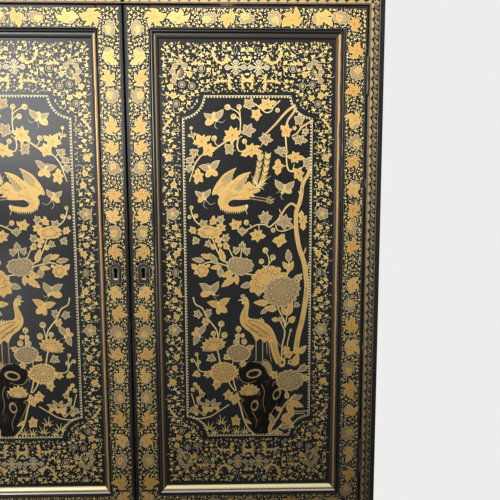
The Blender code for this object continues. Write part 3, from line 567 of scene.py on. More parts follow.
def grow(loop: Points, amount: float) -> np.ndarray:
    """A loop moved out along its own normals.

    Args:
        loop: the loop, anticlockwise.
        amount: how far; a negative amount draws it in.

    Returns:
        The moved loop.
    """
    points = turned(np.asarray(loop, float))
    edges = np.roll(points, -1, 0) - points
    edges /= np.maximum(np.linalg.norm(edges, axis=1), TINY)[:, None]
    outward = np.column_stack([edges[:, 1], -edges[:, 0]])
    normal = outward + np.roll(outward, 1, 0)
    reach = np.maximum((normal**2).sum(1), 0.8)[:, None]
    return points + amount * 2 * normal / reach


def ring_line(loop: np.ndarray) -> np.ndarray:
    """A loop as a line that ends where it starts."""
    return np.vstack([loop, loop[:1]])


def polar(centre: Points, angle: float, radius: float) -> np.ndarray:
    """A point at an angle and radius from a centre."""
    return np.asarray(centre, float) + radius * np.array([math.cos(angle), math.sin(angle)])


def oval(centre: Point, spread: Point, angle: float, reach: float) -> Point:
    """A point at an angle from a centre, a share of the way out to an ellipse of two half widths."""
    return centre[0] + spread[0] * reach * math.cos(angle), centre[1] + spread[1] * reach * math.sin(angle)


def ellipse(centre: Points, width: float, height: float, turn: float = 0.0, count: int = 12) -> np.ndarray:
    """An ellipse as a loop.

    Args:
        centre: its middle.
        width: its half width.
        height: its half height.
        turn: how far it is turned, in radians.
        count: its points.

    Returns:
        The loop.
    """
    angles = np.arange(count) * math.tau / count
    flat = np.column_stack([width * np.cos(angles), height * np.sin(angles)])
    cos, sin = math.cos(turn), math.sin(turn)
    return np.asarray(centre, float) + flat @ np.array([[cos, sin], [-sin, cos]])


class Relief:
    """Flat shapes with bevelled edges, gathered by tone on one flat sheet."""

    FLOOR = -0.15 * MM  # below the lacquer, so that no gap shows
    FIRST = 0.16 * MM
    STEP = 0.018 * MM
    BEVEL = 0.16 * MM
    TRACE = 0.0006 * MM

    def __init__(self, place: Optional[Callable[[np.ndarray], np.ndarray]] = None, rim: float = 0.5) -> None:
        """Start an empty sheet.

        Args:
            place: takes drawing points to metres on the sheet; millimetres if none is given.
            rim: how wide the paler rim of a shape is, in drawing units.
        """
        self.place = place or (lambda points: points * MM)
        self.rim = rim
        self.drawn = 0
        self.points: dict[Tone, list[tuple[float, float, float]]] = {tone: [] for tone in Tone}
        self.faces: dict[Tone, list[tuple[int, ...]]] = {tone: [] for tone in Tone}

    def level(self, layer: int) -> float:
        """The height of a layer, a trace higher for each new shape so that no two faces share a plane."""
        self.drawn += 1
        return self.FIRST + layer * self.STEP + self.drawn % 29 * self.TRACE

    def fill(self, tone: Tone, loop: Points, layer: int = 0) -> None:
        """Add a filled shape.

        Args:
            tone: its tone.
            loop: its outline in drawing units.
            layer: how far up it lies among the shapes that overlap it.
        """
        base = turned(self.place(np.asarray(loop, float)))
        crown = grow(base, -self.BEVEL)
        count = len(base)
        height = self.level(layer)
        points, faces = self.points[tone], self.faces[tone]
        start = len(points)
        points += [(x, y, self.FLOOR) for x, y in base]
        points += [(x, y, height) for x, y in crown]
        faces.append(tuple(range(start + count - 1, start - 1, -1)))
        faces.append(tuple(range(start + count, start + 2 * count)))
        for i in range(count):
            j = (i + 1) % count
            faces.append((start + i, start + j, start + count + j, start + count + i))

    def stroke(
        self, tone: Tone, line: Points, width: float, end: Optional[float] = None, layer: int = 0
    ) -> None:
        """Add a line of changing width.

        Args:
            tone: its tone.
            line: its points in drawing units.
            width: its width at the start.
            end: its width at the end, the same if none is given.
            layer: how far up it lies.
        """
        points = np.asarray(line, float)
        along = np.gradient(points, axis=0)
        along /= np.maximum(np.linalg.norm(along, axis=1), TINY)[:, None]
        side = np.column_stack([-along[:, 1], along[:, 0]])
        half = np.linspace(width, width if end is None else end, len(points))[:, None] / 2
        self.ribbon(tone, points + side * half, points - side * half, layer)

    def ribbon(self, tone: Tone, left: np.ndarray, right: np.ndarray, layer: int) -> None:
        """Add a band between two lines of as many points each.

        Args:
            tone: its tone.
            left: one edge in drawing units.
            right: the other edge.
            layer: how far up it lies.
        """
        edges = [self.place(left), self.place(right)]
        across = edges[1] - edges[0]
        wide = np.maximum(np.linalg.norm(across, axis=1), TINY)[:, None]
        inset = across / wide * np.minimum(self.BEVEL, wide * 0.3)
        height = self.level(layer)
        rows = [
            np.column_stack([edges[0], np.full(len(left), self.FLOOR)]),
            np.column_stack([edges[0] + inset, np.full(len(left), height)]),
            np.column_stack([edges[1] - inset, np.full(len(left), height)]),
            np.column_stack([edges[1], np.full(len(left), self.FLOOR)]),
        ]
        ahead, over = edges[0][1] - edges[0][0], across[0]
        if ahead[0] * over[1] - ahead[1] * over[0] > 0:
            rows = rows[::-1]
        points, faces = self.points[tone], self.faces[tone]
        start = len(points)
        for ring in zip(*rows):
            points += [tuple(corner) for corner in ring]
        last = start + 4 * (len(left) - 1)
        faces.append((start + 3, start + 2, start + 1, start))
        faces.append((last, last + 1, last + 2, last + 3))
        for i in range(start, last, 4):
            for a, b in ((0, 1), (1, 2), (2, 3), (3, 0)):
                faces.append((i + a, i + b, i + 4 + b, i + 4 + a))

    def shape(self, tone: Tone, loop: Points, layer: int, rim: Optional[float] = None) -> None:
        """Add a filled shape with a paler rim round it.

        Args:
            tone: the fill's tone.
            loop: the fill's outline in drawing units.
            layer: how far up the rim lies; the fill is one above it.
            rim: the rim's width, the sheet's own if none is given.
        """
        edge = Tone.BRIGHT if tone in (Tone.GOLD, Tone.AMBER) else Tone.CREAM
        self.fill(edge, grow(loop, self.rim if rim is None else rim), layer)
        self.fill(tone, loop, layer + 1)

    def meshes(self, name: str) -> Drawing:
        """The sheet's shapes as one flat-lying mesh for each tone that it has."""
        return {
            tone: plain_mesh(f"{name}_{tone.value}", points, faces=self.faces[tone])
            for tone, points in self.points.items()
            if points
        }


def lay(
    mesh: bpy.types.Mesh,
    facing: Facing,
    origin: tuple[float, float, float],
    name: str,
    body: str,
    material: bpy.types.Material,
    scale: float = 1.0,
) -> bpy.types.Object:
    """Lay a flat mesh on a face of the cabinet.

    Args:
        mesh: the mesh, drawn on X and Y with Z outwards.
        facing: the way that the face looks.
        origin: where the drawing's origin goes.
        name: the piece's name.
        body: the body that carries it.
        material: its finish.
        scale: how much larger it is laid than drawn.

    Returns:
        The piece.
    """
    right, up, out = (Vector(direction) for direction in facing.value)
    copy = mesh.copy()
    flat = np.zeros(len(copy.vertices) * 3)
    copy.vertices.foreach_get("co", flat)
    plan = flat.reshape(-1, 3)[:, :2]
    low, span = plan.min(0), max(np.ptp(plan, axis=0).max(), TINY)
    corners = np.zeros(len(copy.loops), int)
    copy.loops.foreach_get("vertex_index", corners)
    layer = copy.uv_layers.get(BAKE_MAP) or copy.uv_layers.new(name=BAKE_MAP)
    layer.data.foreach_set("uv", (0.005 + 0.99 * (plan[corners] - low) / span).ravel())
    turn = Matrix((right, up, out)).transposed().to_4x4()
    copy.transform(Matrix.Translation(origin) @ turn @ Matrix.Diagonal((scale, scale, 1.0, 1.0)))
    if right.cross(up).dot(out) < 0:
        copy.flip_normals()
    copy.materials.clear()
    copy.materials.append(material)
    copy.update()
    piece = placed(name, copy)
    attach(piece, body)
    LOG.info("%s: %d faces on %s", name, len(copy.polygons), body)
    return piece


class Brush:
    """Motifs of the ornament, drawn on a sheet in its own units."""

    LAYER = 2  # where leaves and flowers lie
    GIRTH = ((0.06, 0.22), (0.24, 0.86), (0.42, 1.0), (0.47, 0.80), (0.66, 0.86), (0.71, 0.58), (0.88, 0.40))
    SPADE = ((0.10, 0.04), (0.48, 0.07), (0.66, 0.20), (0.82, 0.23), (0.93, 0.13))
    LOBES = ((0.0, 1.1), (0.95, 0.92), (-1.05, 0.86), (1.95, 0.80), (-2.1, 0.82))
    POINTED = ((0.0, 0.86), (0.34, 0.97), (0.5, 1.08), (0.66, 0.97))
    ROUND = ((0.0, 0.88), (0.16, 0.99), (0.38, 1.05), (0.62, 1.05), (0.84, 0.99))
    SCALE = ((0.03, 0.80), (0.25, 1.0), (0.5, 1.06), (0.75, 1.0), (0.97, 0.80))
    INNER_SCALE = ((0.2, 0.94), (0.5, 1.05), (0.8, 0.94))

    def __init__(self, sheet: Relief, fine: float, seed: int) -> None:
        """Keep the sheet.

        Args:
            sheet: what is drawn on.
            fine: the width of an engraved line, in the sheet's units.
            seed: fixes the small differences between like motifs.
        """
        self.sheet = sheet
        self.fine = fine
        self.random = random.Random(seed)

    def line(self, points: Points, tone: Tone = Tone.INK, layer: int = 6, width: float = 1.0) -> None:
        """Draw a fine smooth line that thins towards its end."""
        self.sheet.stroke(tone, spline(points, steps=3), self.fine * width, self.fine * width * 0.6, layer)

    def star(
        self, centre: Point, tips: Iterable[Point], tone: Tone, layer: int = LAYER, sweep: float = 0.0
    ) -> None:
        """Draw a lobed leaf.

        Args:
            centre: where its veins meet.
            tips: the point of each lobe.
            tone: its tone.
            layer: how far up it lies.
            sweep: how far its points are bent to one side, in radians.
        """
        middle = np.asarray(centre, float)
        arms = [np.asarray(tip, float) - middle for tip in tips]
        spokes = sorted((math.atan2(arm[1], arm[0]), float(np.linalg.norm(arm))) for arm in arms)
        loop = []
        for i, (angle, reach) in enumerate(spokes):
            following, next_reach = spokes[(i + 1) % len(spokes)]
            before = (angle - spokes[i - 1][0]) % math.tau
            after = (following - angle) % math.tau
            near = min(reach, next_reach) * (0.72 if sweep else 1.0)
            loop.append(polar(middle, angle - min(before * 0.33, 0.52), reach * 0.78))
            loop.append(polar(middle, angle + sweep, reach * 1.08))
            loop.append(polar(middle, angle + min(after * 0.33, 0.52), reach * 0.78))
            if after > 1.9:
                loop.append(polar(middle, angle + 0.95, reach * 0.56))
                loop.append(polar(middle, angle + after / 2, near * 0.44))
                loop.append(polar(middle, following - 0.95, next_reach * 0.56))
            else:
                loop.append(polar(middle, angle + after / 2, near * 0.60))
        self.sheet.shape(tone, spline(loop, closed=True, steps=2) if sweep else loop, layer)
        for angle, reach in spokes:
            bent = polar(middle, angle + sweep * 0.6, reach * 0.85)
            self.line([middle, polar(middle, angle, reach * 0.5), bent], layer=layer + 2, width=1.3)

    def ivy(self, centre: Point, size: float, heading: float, tone: Tone) -> None:
        """Draw a leaf of five unequal lobes.

        Args:
            centre: its middle.
            size: from its middle to its tip.
            heading: the way that its tip points, in degrees.
            tone: its tone.
        """
        turn = math.radians(heading)
        tips = []
        for angle, reach in self.LOBES:
            lean = turn + angle + self.random.uniform(-0.16, 0.16)
            tips.append(polar(centre, lean, size * reach * self.random.uniform(0.86, 1.14)))
        self.star(centre, tips, tone)

    def blade(self, base: Point, tip: Point, width: float, tone: Tone) -> None:
        """Draw a toothed leaf.

        Args:
            base: where its stalk joins.
            tip: its point.
            width: its greatest width.
            tone: its tone.
        """
        start, end = np.asarray(base, float), np.asarray(tip, float)
        along = end - start
        side = np.array([-along[1], along[0]]) / max(np.linalg.norm(along), TINY) * width / 2
        left = [start + along * t + side * w for t, w in self.GIRTH]
        right = [start + along * t - side * w for t, w in reversed(self.GIRTH)]
        self.sheet.shape(tone, [start, *left, end, *right], self.LAYER)
        self.line([start, start + along * 0.85], layer=self.LAYER + 2)
        for share in (0.35, 0.6):
            for way in (-0.6, 0.6):
                root = start + along * share
                self.line([root, root + along * 0.14 + side * way], layer=self.LAYER + 2, width=0.8)

    def bud(self, centre: Point, size: float, tone: Tone) -> None:
        """Draw a round bud with a folded heart."""
        layer = self.LAYER + 1
        turn = self.random.uniform(0, math.tau)
        heart = polar(centre, turn, size * 0.14)
        self.sheet.fill(Tone.BRIGHT, ellipse(centre, size * 0.96, size * 0.9, turn, 12), layer)
        self.sheet.fill(tone, ellipse(heart, size * 0.70, size * 0.62, turn, 12), layer + 1)
        swirl = [polar(centre, turn + k * 0.9, size * (0.50 - 0.07 * k)) for k in range(5)]
        self.sheet.stroke(Tone.BRIGHT, spline(swirl, steps=2), size * 0.16, size * 0.3, layer + 2)
        fold = [polar(centre, turn + 2.6, size * 0.72), polar(centre, turn + 3.6, size * 0.30)]
        self.line(fold, layer=layer + 3)

    def berry(self, centre: Point, size: float, tone: Tone = Tone.GOLD) -> None:
        """Draw a small round berry."""
        self.sheet.shape(tone, ellipse(centre, size, size, count=10), self.LAYER)

    def petal(self, centre: Points, size: float, heading: float, tone: Tone, layer: int) -> None:
        """Draw a petal with a waved outer edge.

        Args:
            centre: its middle.
            size: its half width.
            heading: the way that its edge faces, in radians.
            tone: its tone.
            layer: how far up it lies.
        """
        angles = np.arange(14) * math.tau / 14
        waves = 1 + 0.16 * np.cos(angles * 5) * (np.cos(angles) > -0.2)
        loop = [polar(centre, heading + a, size * w) for a, w in zip(angles, waves)]
        self.sheet.shape(tone, loop, layer, self.sheet.rim * 0.6)
        for share in (0.36, 0.68):
            ring = ellipse(polar(centre, heading, size * 0.08), size * share, size * share * 0.9, heading, 10)
            self.line(ring_line(ring), layer=layer + 2, width=1.3)

    def wing(self, root: Points, tip: Points, bend: float, tone: Tone, layer: int) -> None:
        """Draw a pointed wing.

        Args:
            root: where it joins the body.
            tip: its point.
            bend: how far it bulges, as a share of its length; the sign says to which side.
            tone: its tone.
            layer: how far up it lies.
        """
        start, end = np.asarray(root, float), np.asarray(tip, float)
        along = end - start
        side = np.array([-along[1], along[0]]) * bend
        lead = spline([start, start + along * 0.42 + side * 0.55, end], steps=5)
        trail = spline([end, start + along * 0.66 - side * 0.75, start + along * 0.2 - side * 0.8, start])
        self.sheet.shape(tone, np.vstack([lead, trail[1:-1]]), layer)
        for share in (-0.45, -0.1, 0.25):
            self.line([start, start + along * 0.78 + side * share], layer=layer + 2, width=0.8)

    def butterfly(
        self,
        body: Point,
        tips: tuple[Point, Point],
        lobes: tuple[Point, Point],
        feelers: Iterable[Point],
        tone: Tone,
    ) -> None:
        """Draw a butterfly.

        Args:
            body: its middle.
            tips: the points of its two large wings.
            lobes: the outer ends of its two small wings.
            feelers: the ends of its feelers.
            tone: its wings' tone.
        """
        layer = self.LAYER
        middle = np.asarray(body, float)
        ends = [np.asarray(feeler, float) for feeler in feelers]
        head = sum(ends) / len(ends) if ends else 2 * middle - (np.asarray(tips[0]) + np.asarray(tips[1])) / 2
        facing = (head - middle) / max(np.linalg.norm(head - middle), TINY)
        long = np.linalg.norm(np.asarray(tips[0]) - middle) * 0.24
        for lobe in lobes:
            way = np.asarray(lobe, float) - middle
            reach = np.linalg.norm(way)
            lobe_loop = ellipse(middle + way * 0.62, reach * 0.62, reach * 0.40, math.atan2(way[1], way[0]))
            self.sheet.shape(Tone.GOLD, lobe_loop, layer)
            self.line([middle, middle + way], layer=layer + 2)
        for tip in tips:
            along = np.asarray(tip) - middle
            bend = 0.34 if along[0] * facing[1] - along[1] * facing[0] < 0 else -0.34
            self.wing(middle, tip, bend, tone, layer + 2)
        trunk = ellipse(middle + facing * long * 0.2, long, long * 0.42, math.atan2(facing[1], facing[0]))
        self.sheet.shape(Tone.GOLD, trunk, layer + 5)
        face = ellipse(middle + facing * long * 1.2, long * 0.36, long * 0.32)
        self.sheet.shape(Tone.BRIGHT, face, layer + 5)
        for end in ends:
            root = middle + facing * long * 1.3
            way = end - root
            curl = np.array([-way[1], way[0]]) * 0.3
            self.line([root, root + way * 0.6 + curl, end], Tone.CREAM, layer, 1.5)

    def trefoil(self, centre: Point, size: float, heading: float, tone: Tone) -> None:
        """Draw a small flat leaf of three round lobes on a short curled stalk.

        Args:
            centre: its middle.
            size: from its middle to its tip.
            heading: the way that its tip points, in degrees.
            tone: its tone.
        """
        layer, turn = self.LAYER, math.radians(heading)
        spread = self.random.uniform(1.15, 1.5)
        for lean, out, big in ((0.0, 0.52, 0.50), (spread, 0.56, 0.42), (-spread, 0.56, 0.42)):
            place = polar(centre, turn + lean, size * out)
            self.sheet.fill(tone, ellipse(place, size * big, size * big * 0.78, turn + lean, 8), layer)
        self.sheet.fill(tone, ellipse(centre, size * 0.42, size * 0.42, count=7), layer)
        way = self.random.choice((-1, 1))
        stalk = [polar(centre, turn + math.pi + way * k * 0.32, size * (0.3 + 0.55 * k)) for k in range(4)]
        self.sheet.stroke(Tone.CREAM, spline(stalk, steps=2), size * 0.20, size * 0.24, layer)
        self.line([polar(centre, turn, -size * 0.3), polar(centre, turn, size * 0.6)], layer=layer + 1)

    def hook(self, centre: Point, size: float, heading: float) -> None:
        """Draw a curled tendril that ends in a bead."""
        turn = math.radians(heading)
        arc = [polar(centre, turn + k * 0.62, size * (1 - 0.06 * k)) for k in range(6)]
        self.sheet.stroke(Tone.CREAM, spline(arc, steps=2), size * 0.34, size * 0.5)
        self.sheet.fill(Tone.CREAM, ellipse(arc[-1], size * 0.4, size * 0.4, count=8), 1)

    def acanthus(self, spine: Points, width: float) -> None:
        """Draw a scrolling leaf: a curved stem with lobes along its outer side.

        Args:
            spine: the points that its stem passes through.
            width: the stem's width at its root.
        """
        tone, layer, edge = Tone.GOLD, self.LAYER, 2 * self.sheet.rim
        stem = spline(spine, steps=6)
        self.sheet.stroke(Tone.CREAM, stem, width + edge, width * 0.5 + edge, layer)
        self.sheet.stroke(tone, stem, width, width * 0.4, layer + 1)
        along = np.gradient(stem, axis=0)
        bend = along[0][0] * along[-1][1] - along[0][1] * along[-1][0]
        way = -1.0 if bend > 0 else 1.0
        for i in range(3, len(stem) - 2, 4):
            heading = math.atan2(along[i][1], along[i][0])
            reach = width * (2.6 - 1.2 * i / len(stem))
            for lean, side in ((0.85, way), (0.75, -way * 0.6)):
                angle = heading + lean * math.copysign(1, side)
                tip = polar(stem[i], angle, reach * abs(side) + width * 0.4)
                barb = polar(tip, angle + 1.9, width * 0.5)
                self.sheet.shape(tone, [stem[i - 1], stem[i + 1], barb, tip], layer)
        self.sheet.shape(tone, ellipse(stem[-1], width * 0.75, width * 0.75, count=10), layer)

    def cross_flower(self, centre: Point, size: float) -> None:
        """Draw a flower of four spade petals, two of them shorter, with darts between them."""
        layer = self.LAYER
        spade = [*self.SPADE, (1.0, 0.0), *((x, -y) for x, y in reversed(self.SPADE))]
        for k in range(4):
            angle = k * math.pi / 2
            reach = size * (0.68 if k % 2 else 1.0)
            cos, sin = math.cos(angle), math.sin(angle)
            loop = [(reach * x, size * y) for x, y in spade]
            put = [(centre[0] + x * cos - y * sin, centre[1] + x * sin + y * cos) for x, y in loop]
            self.sheet.shape(Tone.SILVER, put, layer)
            ring = ellipse(polar(centre, angle, reach * 0.74), reach * 0.15, size * 0.15, angle, 10)
            self.line(ring_line(ring), layer=layer + 2, width=1.6)
            self.line([centre, polar(centre, angle, reach * 0.55)], layer=layer + 2, width=1.6)
            dart = angle + math.pi / 4
            ends = [polar(centre, dart, size * 0.22), polar(centre, dart, size * 0.60)]
            self.sheet.stroke(Tone.CREAM, ends, size * 0.07, size * 0.13, layer)
        self.sheet.shape(Tone.GOLD, ellipse(centre, size * 0.14, size * 0.14, count=10), layer + 3)

    def medallion(self, centre: Point, size: float) -> None:
        """Draw a ring round a small boss."""
        layer = self.LAYER
        self.sheet.fill(Tone.SILVER, ellipse(centre, size, size, count=18), layer)
        self.sheet.fill(Tone.ROCK, ellipse(centre, size * 0.84, size * 0.84, count=16), layer + 1)
        boss = ellipse(centre, size * 0.44, size * 0.50, count=12)
        self.sheet.shape(Tone.PALE, boss, layer + 2, self.sheet.rim * 0.6)
        self.line(ring_line(ellipse(centre, size * 0.20, size * 0.26, count=10)), layer=layer + 4, width=1.6)

    def branch(
        self, points: Points, width: float, end: float, tone: Tone = Tone.GOLD, layer: int = 0
    ) -> None:
        """Draw a branch with a paler edge.

        Args:
            points: what it passes through.
            width: its width at the root.
            end: its width at the tip.
            tone: its tone.
            layer: how far up it lies.
        """
        run = spline(points, steps=5)
        edge = self.sheet.rim
        self.sheet.stroke(Tone.CREAM, run, width + edge, end + edge, layer)
        self.sheet.stroke(tone, run, width, end, layer + 1)

    def blossom(
        self,
        outline: Points,
        heart: Point,
        tone: Tone,
        bumps: int,
        rings: Sequence[float],
        layer: int = LAYER + 1,
        pointed: bool = False,
    ) -> None:
        """Draw a full flower: a scalloped outline filled with rings of petals.

        Args:
            outline: points round its edge.
            heart: what its petals grow from.
            tone: its tone.
            bumps: petals round its edge.
            rings: how far out the inner petals end, as shares of the outline.
            layer: how far up it lies.
            pointed: whether the petals end in points.
        """
        loop = ring_line(spline(outline, closed=True, steps=6))
        run = np.concatenate([[0.0], np.cumsum(np.linalg.norm(np.diff(loop, axis=0), axis=1))])
        core = np.asarray(heart, float)

        def at(share: float, out: float) -> np.ndarray:
            """A point at a share of the way round, drawn towards or away from the heart."""
            along = (share % 1.0) * run[-1]
            return core + (np.array([np.interp(along, run, loop[:, k]) for k in (0, 1)]) - core) * out

        edge = [
            at((k + t) / bumps, out * self.random.uniform(0.97, 1.03))
            for k in range(bumps)
            for t, out in (self.POINTED if pointed else self.ROUND)
        ]
        self.sheet.shape(tone, edge, layer)
        for k in range(bumps):
            seam = [at(k / bumps, 0.86), at((k + 0.08) / bumps, rings[0] * 0.86)]
            self.line(seam, layer=layer + 2, width=1.9)
            vein = [at((k + 0.5) / bumps, 0.92), at((k + 0.46) / bumps, rings[0] * 1.06)]
            self.line(vein, layer=layer + 2, width=1.2)
        for depth, share in enumerate(rings, layer + 2):
            count = max(5, round(bumps * (0.35 + 0.5 * share)))
            shift = self.random.uniform(0, 1)
            for k in range(count):
                big = share * self.random.uniform(0.90, 1.10)
                arc = [at((k + t + shift) / count, out * big) for t, out in self.SCALE]
                self.line(arc, layer=depth, width=2.0)
                inner = [at((k + t + shift) / count, out * big * 0.9) for t, out in self.INNER_SCALE]
                self.line(inner, Tone.CREAM, depth, 1.5)
                vein = [at((k + 0.5 + shift) / count, big * out) for out in (0.78, 0.5)]
                self.line(vein, layer=depth, width=1.5)

    def plume(self, quill: Points, barb: float, tone: Tone, gap: float, layer: int = 1) -> None:
        """Draw a long feather: barbs in a herringbone along a quill, and an eye at its tip.

        Args:
            quill: what its quill passes through, from the bird outwards.
            barb: the barbs' length.
            tone: its tone.
            gap: the distance between two barbs.
            layer: how far up it lies.
        """
        run = spline(quill, steps=10)
        along = np.gradient(run, axis=0)
        length = np.concatenate([[0.0], np.cumsum(np.linalg.norm(np.diff(run, axis=0), axis=1))])
        for reach in np.arange(length[-1] * 0.06, length[-1], gap):
            i = int(np.searchsorted(length, reach))
            heading = math.atan2(along[i][1], along[i][0])
            for lean in (-0.66, 0.66):
                end = polar(run[i], heading + lean, barb)
                self.sheet.stroke(Tone.BRIGHT, [run[i], (run[i] + end) / 2, end], 1.3, 0.6, layer)
        self.sheet.stroke(tone, run, 1.5, 1.1, layer + 1)
        eye = ellipse(run[-1], 2.2, 2.8, math.atan2(along[-1][1], along[-1][0]))
        self.sheet.shape(tone, eye, layer + 1)
        self.sheet.fill(Tone.CREAM, ellipse(run[-1], 1.1, 1.3, count=10), layer + 3)

    def tuft(self, root: Point, size: float) -> None:
        """Draw a tuft of grass: thin blades that open upwards on a pixel sheet."""
        for lean in (-70, -36, -8, 24, 58):
            reach = size * self.random.uniform(1.05, 1.45) * (1.1 - abs(lean) / 190)
            start = polar(root, math.radians(lean - 90), reach * 0.22)
            bend = polar(root, math.radians(lean * 0.86 - 90), reach * 0.62)
            tip = polar(root, math.radians(lean - 90), reach)
            self.sheet.stroke(Tone.BRIGHT, spline([start, bend, tip], steps=3), 1.35, 0.4, 1)

    def flame(
        self, centre: Point, spread: Point, heading: float, lobes: int, tone: Tone, layer: int = LAYER
    ) -> None:
        """Draw a large band leaf: a broad body with long uneven points.

        Args:
            centre: its middle.
            spread: its half width and half height.
            heading: the way that it opens, in degrees.
            lobes: how many points it has.
            tone: its tone.
            layer: how far up it lies.
        """
        tips = []
        for k in range(lobes):
            angle = math.radians(heading + 236 * (k / (lobes - 1) - 0.5) + self.random.uniform(-13, 13))
            tips.append(oval(centre, spread, angle, self.random.uniform(0.80, 1.24)))
        root = polar(centre, math.radians(heading), -min(spread) * 0.22)
        self.star(root, tips, tone, layer, self.random.choice((-0.42, 0.42)))

    def shell(self, centre: Point, spread: Point, heading: float) -> None:
        """Draw a fluted half flower.

        Args:
            centre: the middle of its straight side.
            spread: its half width and half height.
            heading: the way that it opens, in degrees.
        """
        loop, flutes = [], 7
        for k in range(flutes * 2 + 1):
            angle = math.radians(heading + 196 * (k / (flutes * 2) - 0.5))
            loop.append(oval(centre, spread, angle, 1.0 if k % 2 else 0.86))
        root = polar(centre, math.radians(heading), -min(spread) * 0.2)
        self.sheet.shape(Tone.PALE, [*loop, root], self.LAYER)
        middle = np.asarray(centre)
        for point in loop[2:-1:2]:
            end = np.asarray(point, float)
            flute = [middle * 0.75 + end * 0.25, middle * 0.1 + end * 0.9]
            self.line(flute, layer=self.LAYER + 2, width=1.2)


# The view of the photograph
@dataclass(frozen=True)
class PhotoView:
    """The photograph's camera, and the way from its pixels to an upright plane of the cabinet."""

    place: tuple[float, float, float]
    right: tuple[float, float, float] = (0.9999, -0.0171, -0.0023)
    up: tuple[float, float, float] = (0.0038, 0.0861, 0.9963)
    forward: tuple[float, float, float] = (0.0168, 0.9961, -0.0861)
    focal: float = 420.0  # pixels
    centre: Point = (249.5, 250.0)
    frame_pixels: float = 500.0
    sensor: float = 36.0

    def on_plane(self, pixels: np.ndarray, depth: float) -> np.ndarray:
        """Take pixels to the X and Z of the points that they show.

        Args:
            pixels: pixel coordinates in the photograph.
            depth: the plane's Y.

        Returns:
            X and Z in metres.
        """
        across = (pixels[:, 0] - self.centre[0])[:, None]
        rise = (self.centre[1] - pixels[:, 1])[:, None]
        rays = self.focal * np.array(self.forward) + across * np.array(self.right) + rise * np.array(self.up)
        reach = (depth - self.place[1]) / rays[:, 1]
        return np.column_stack([self.place[0] + rays[:, 0] * reach, self.place[2] + rays[:, 2] * reach])


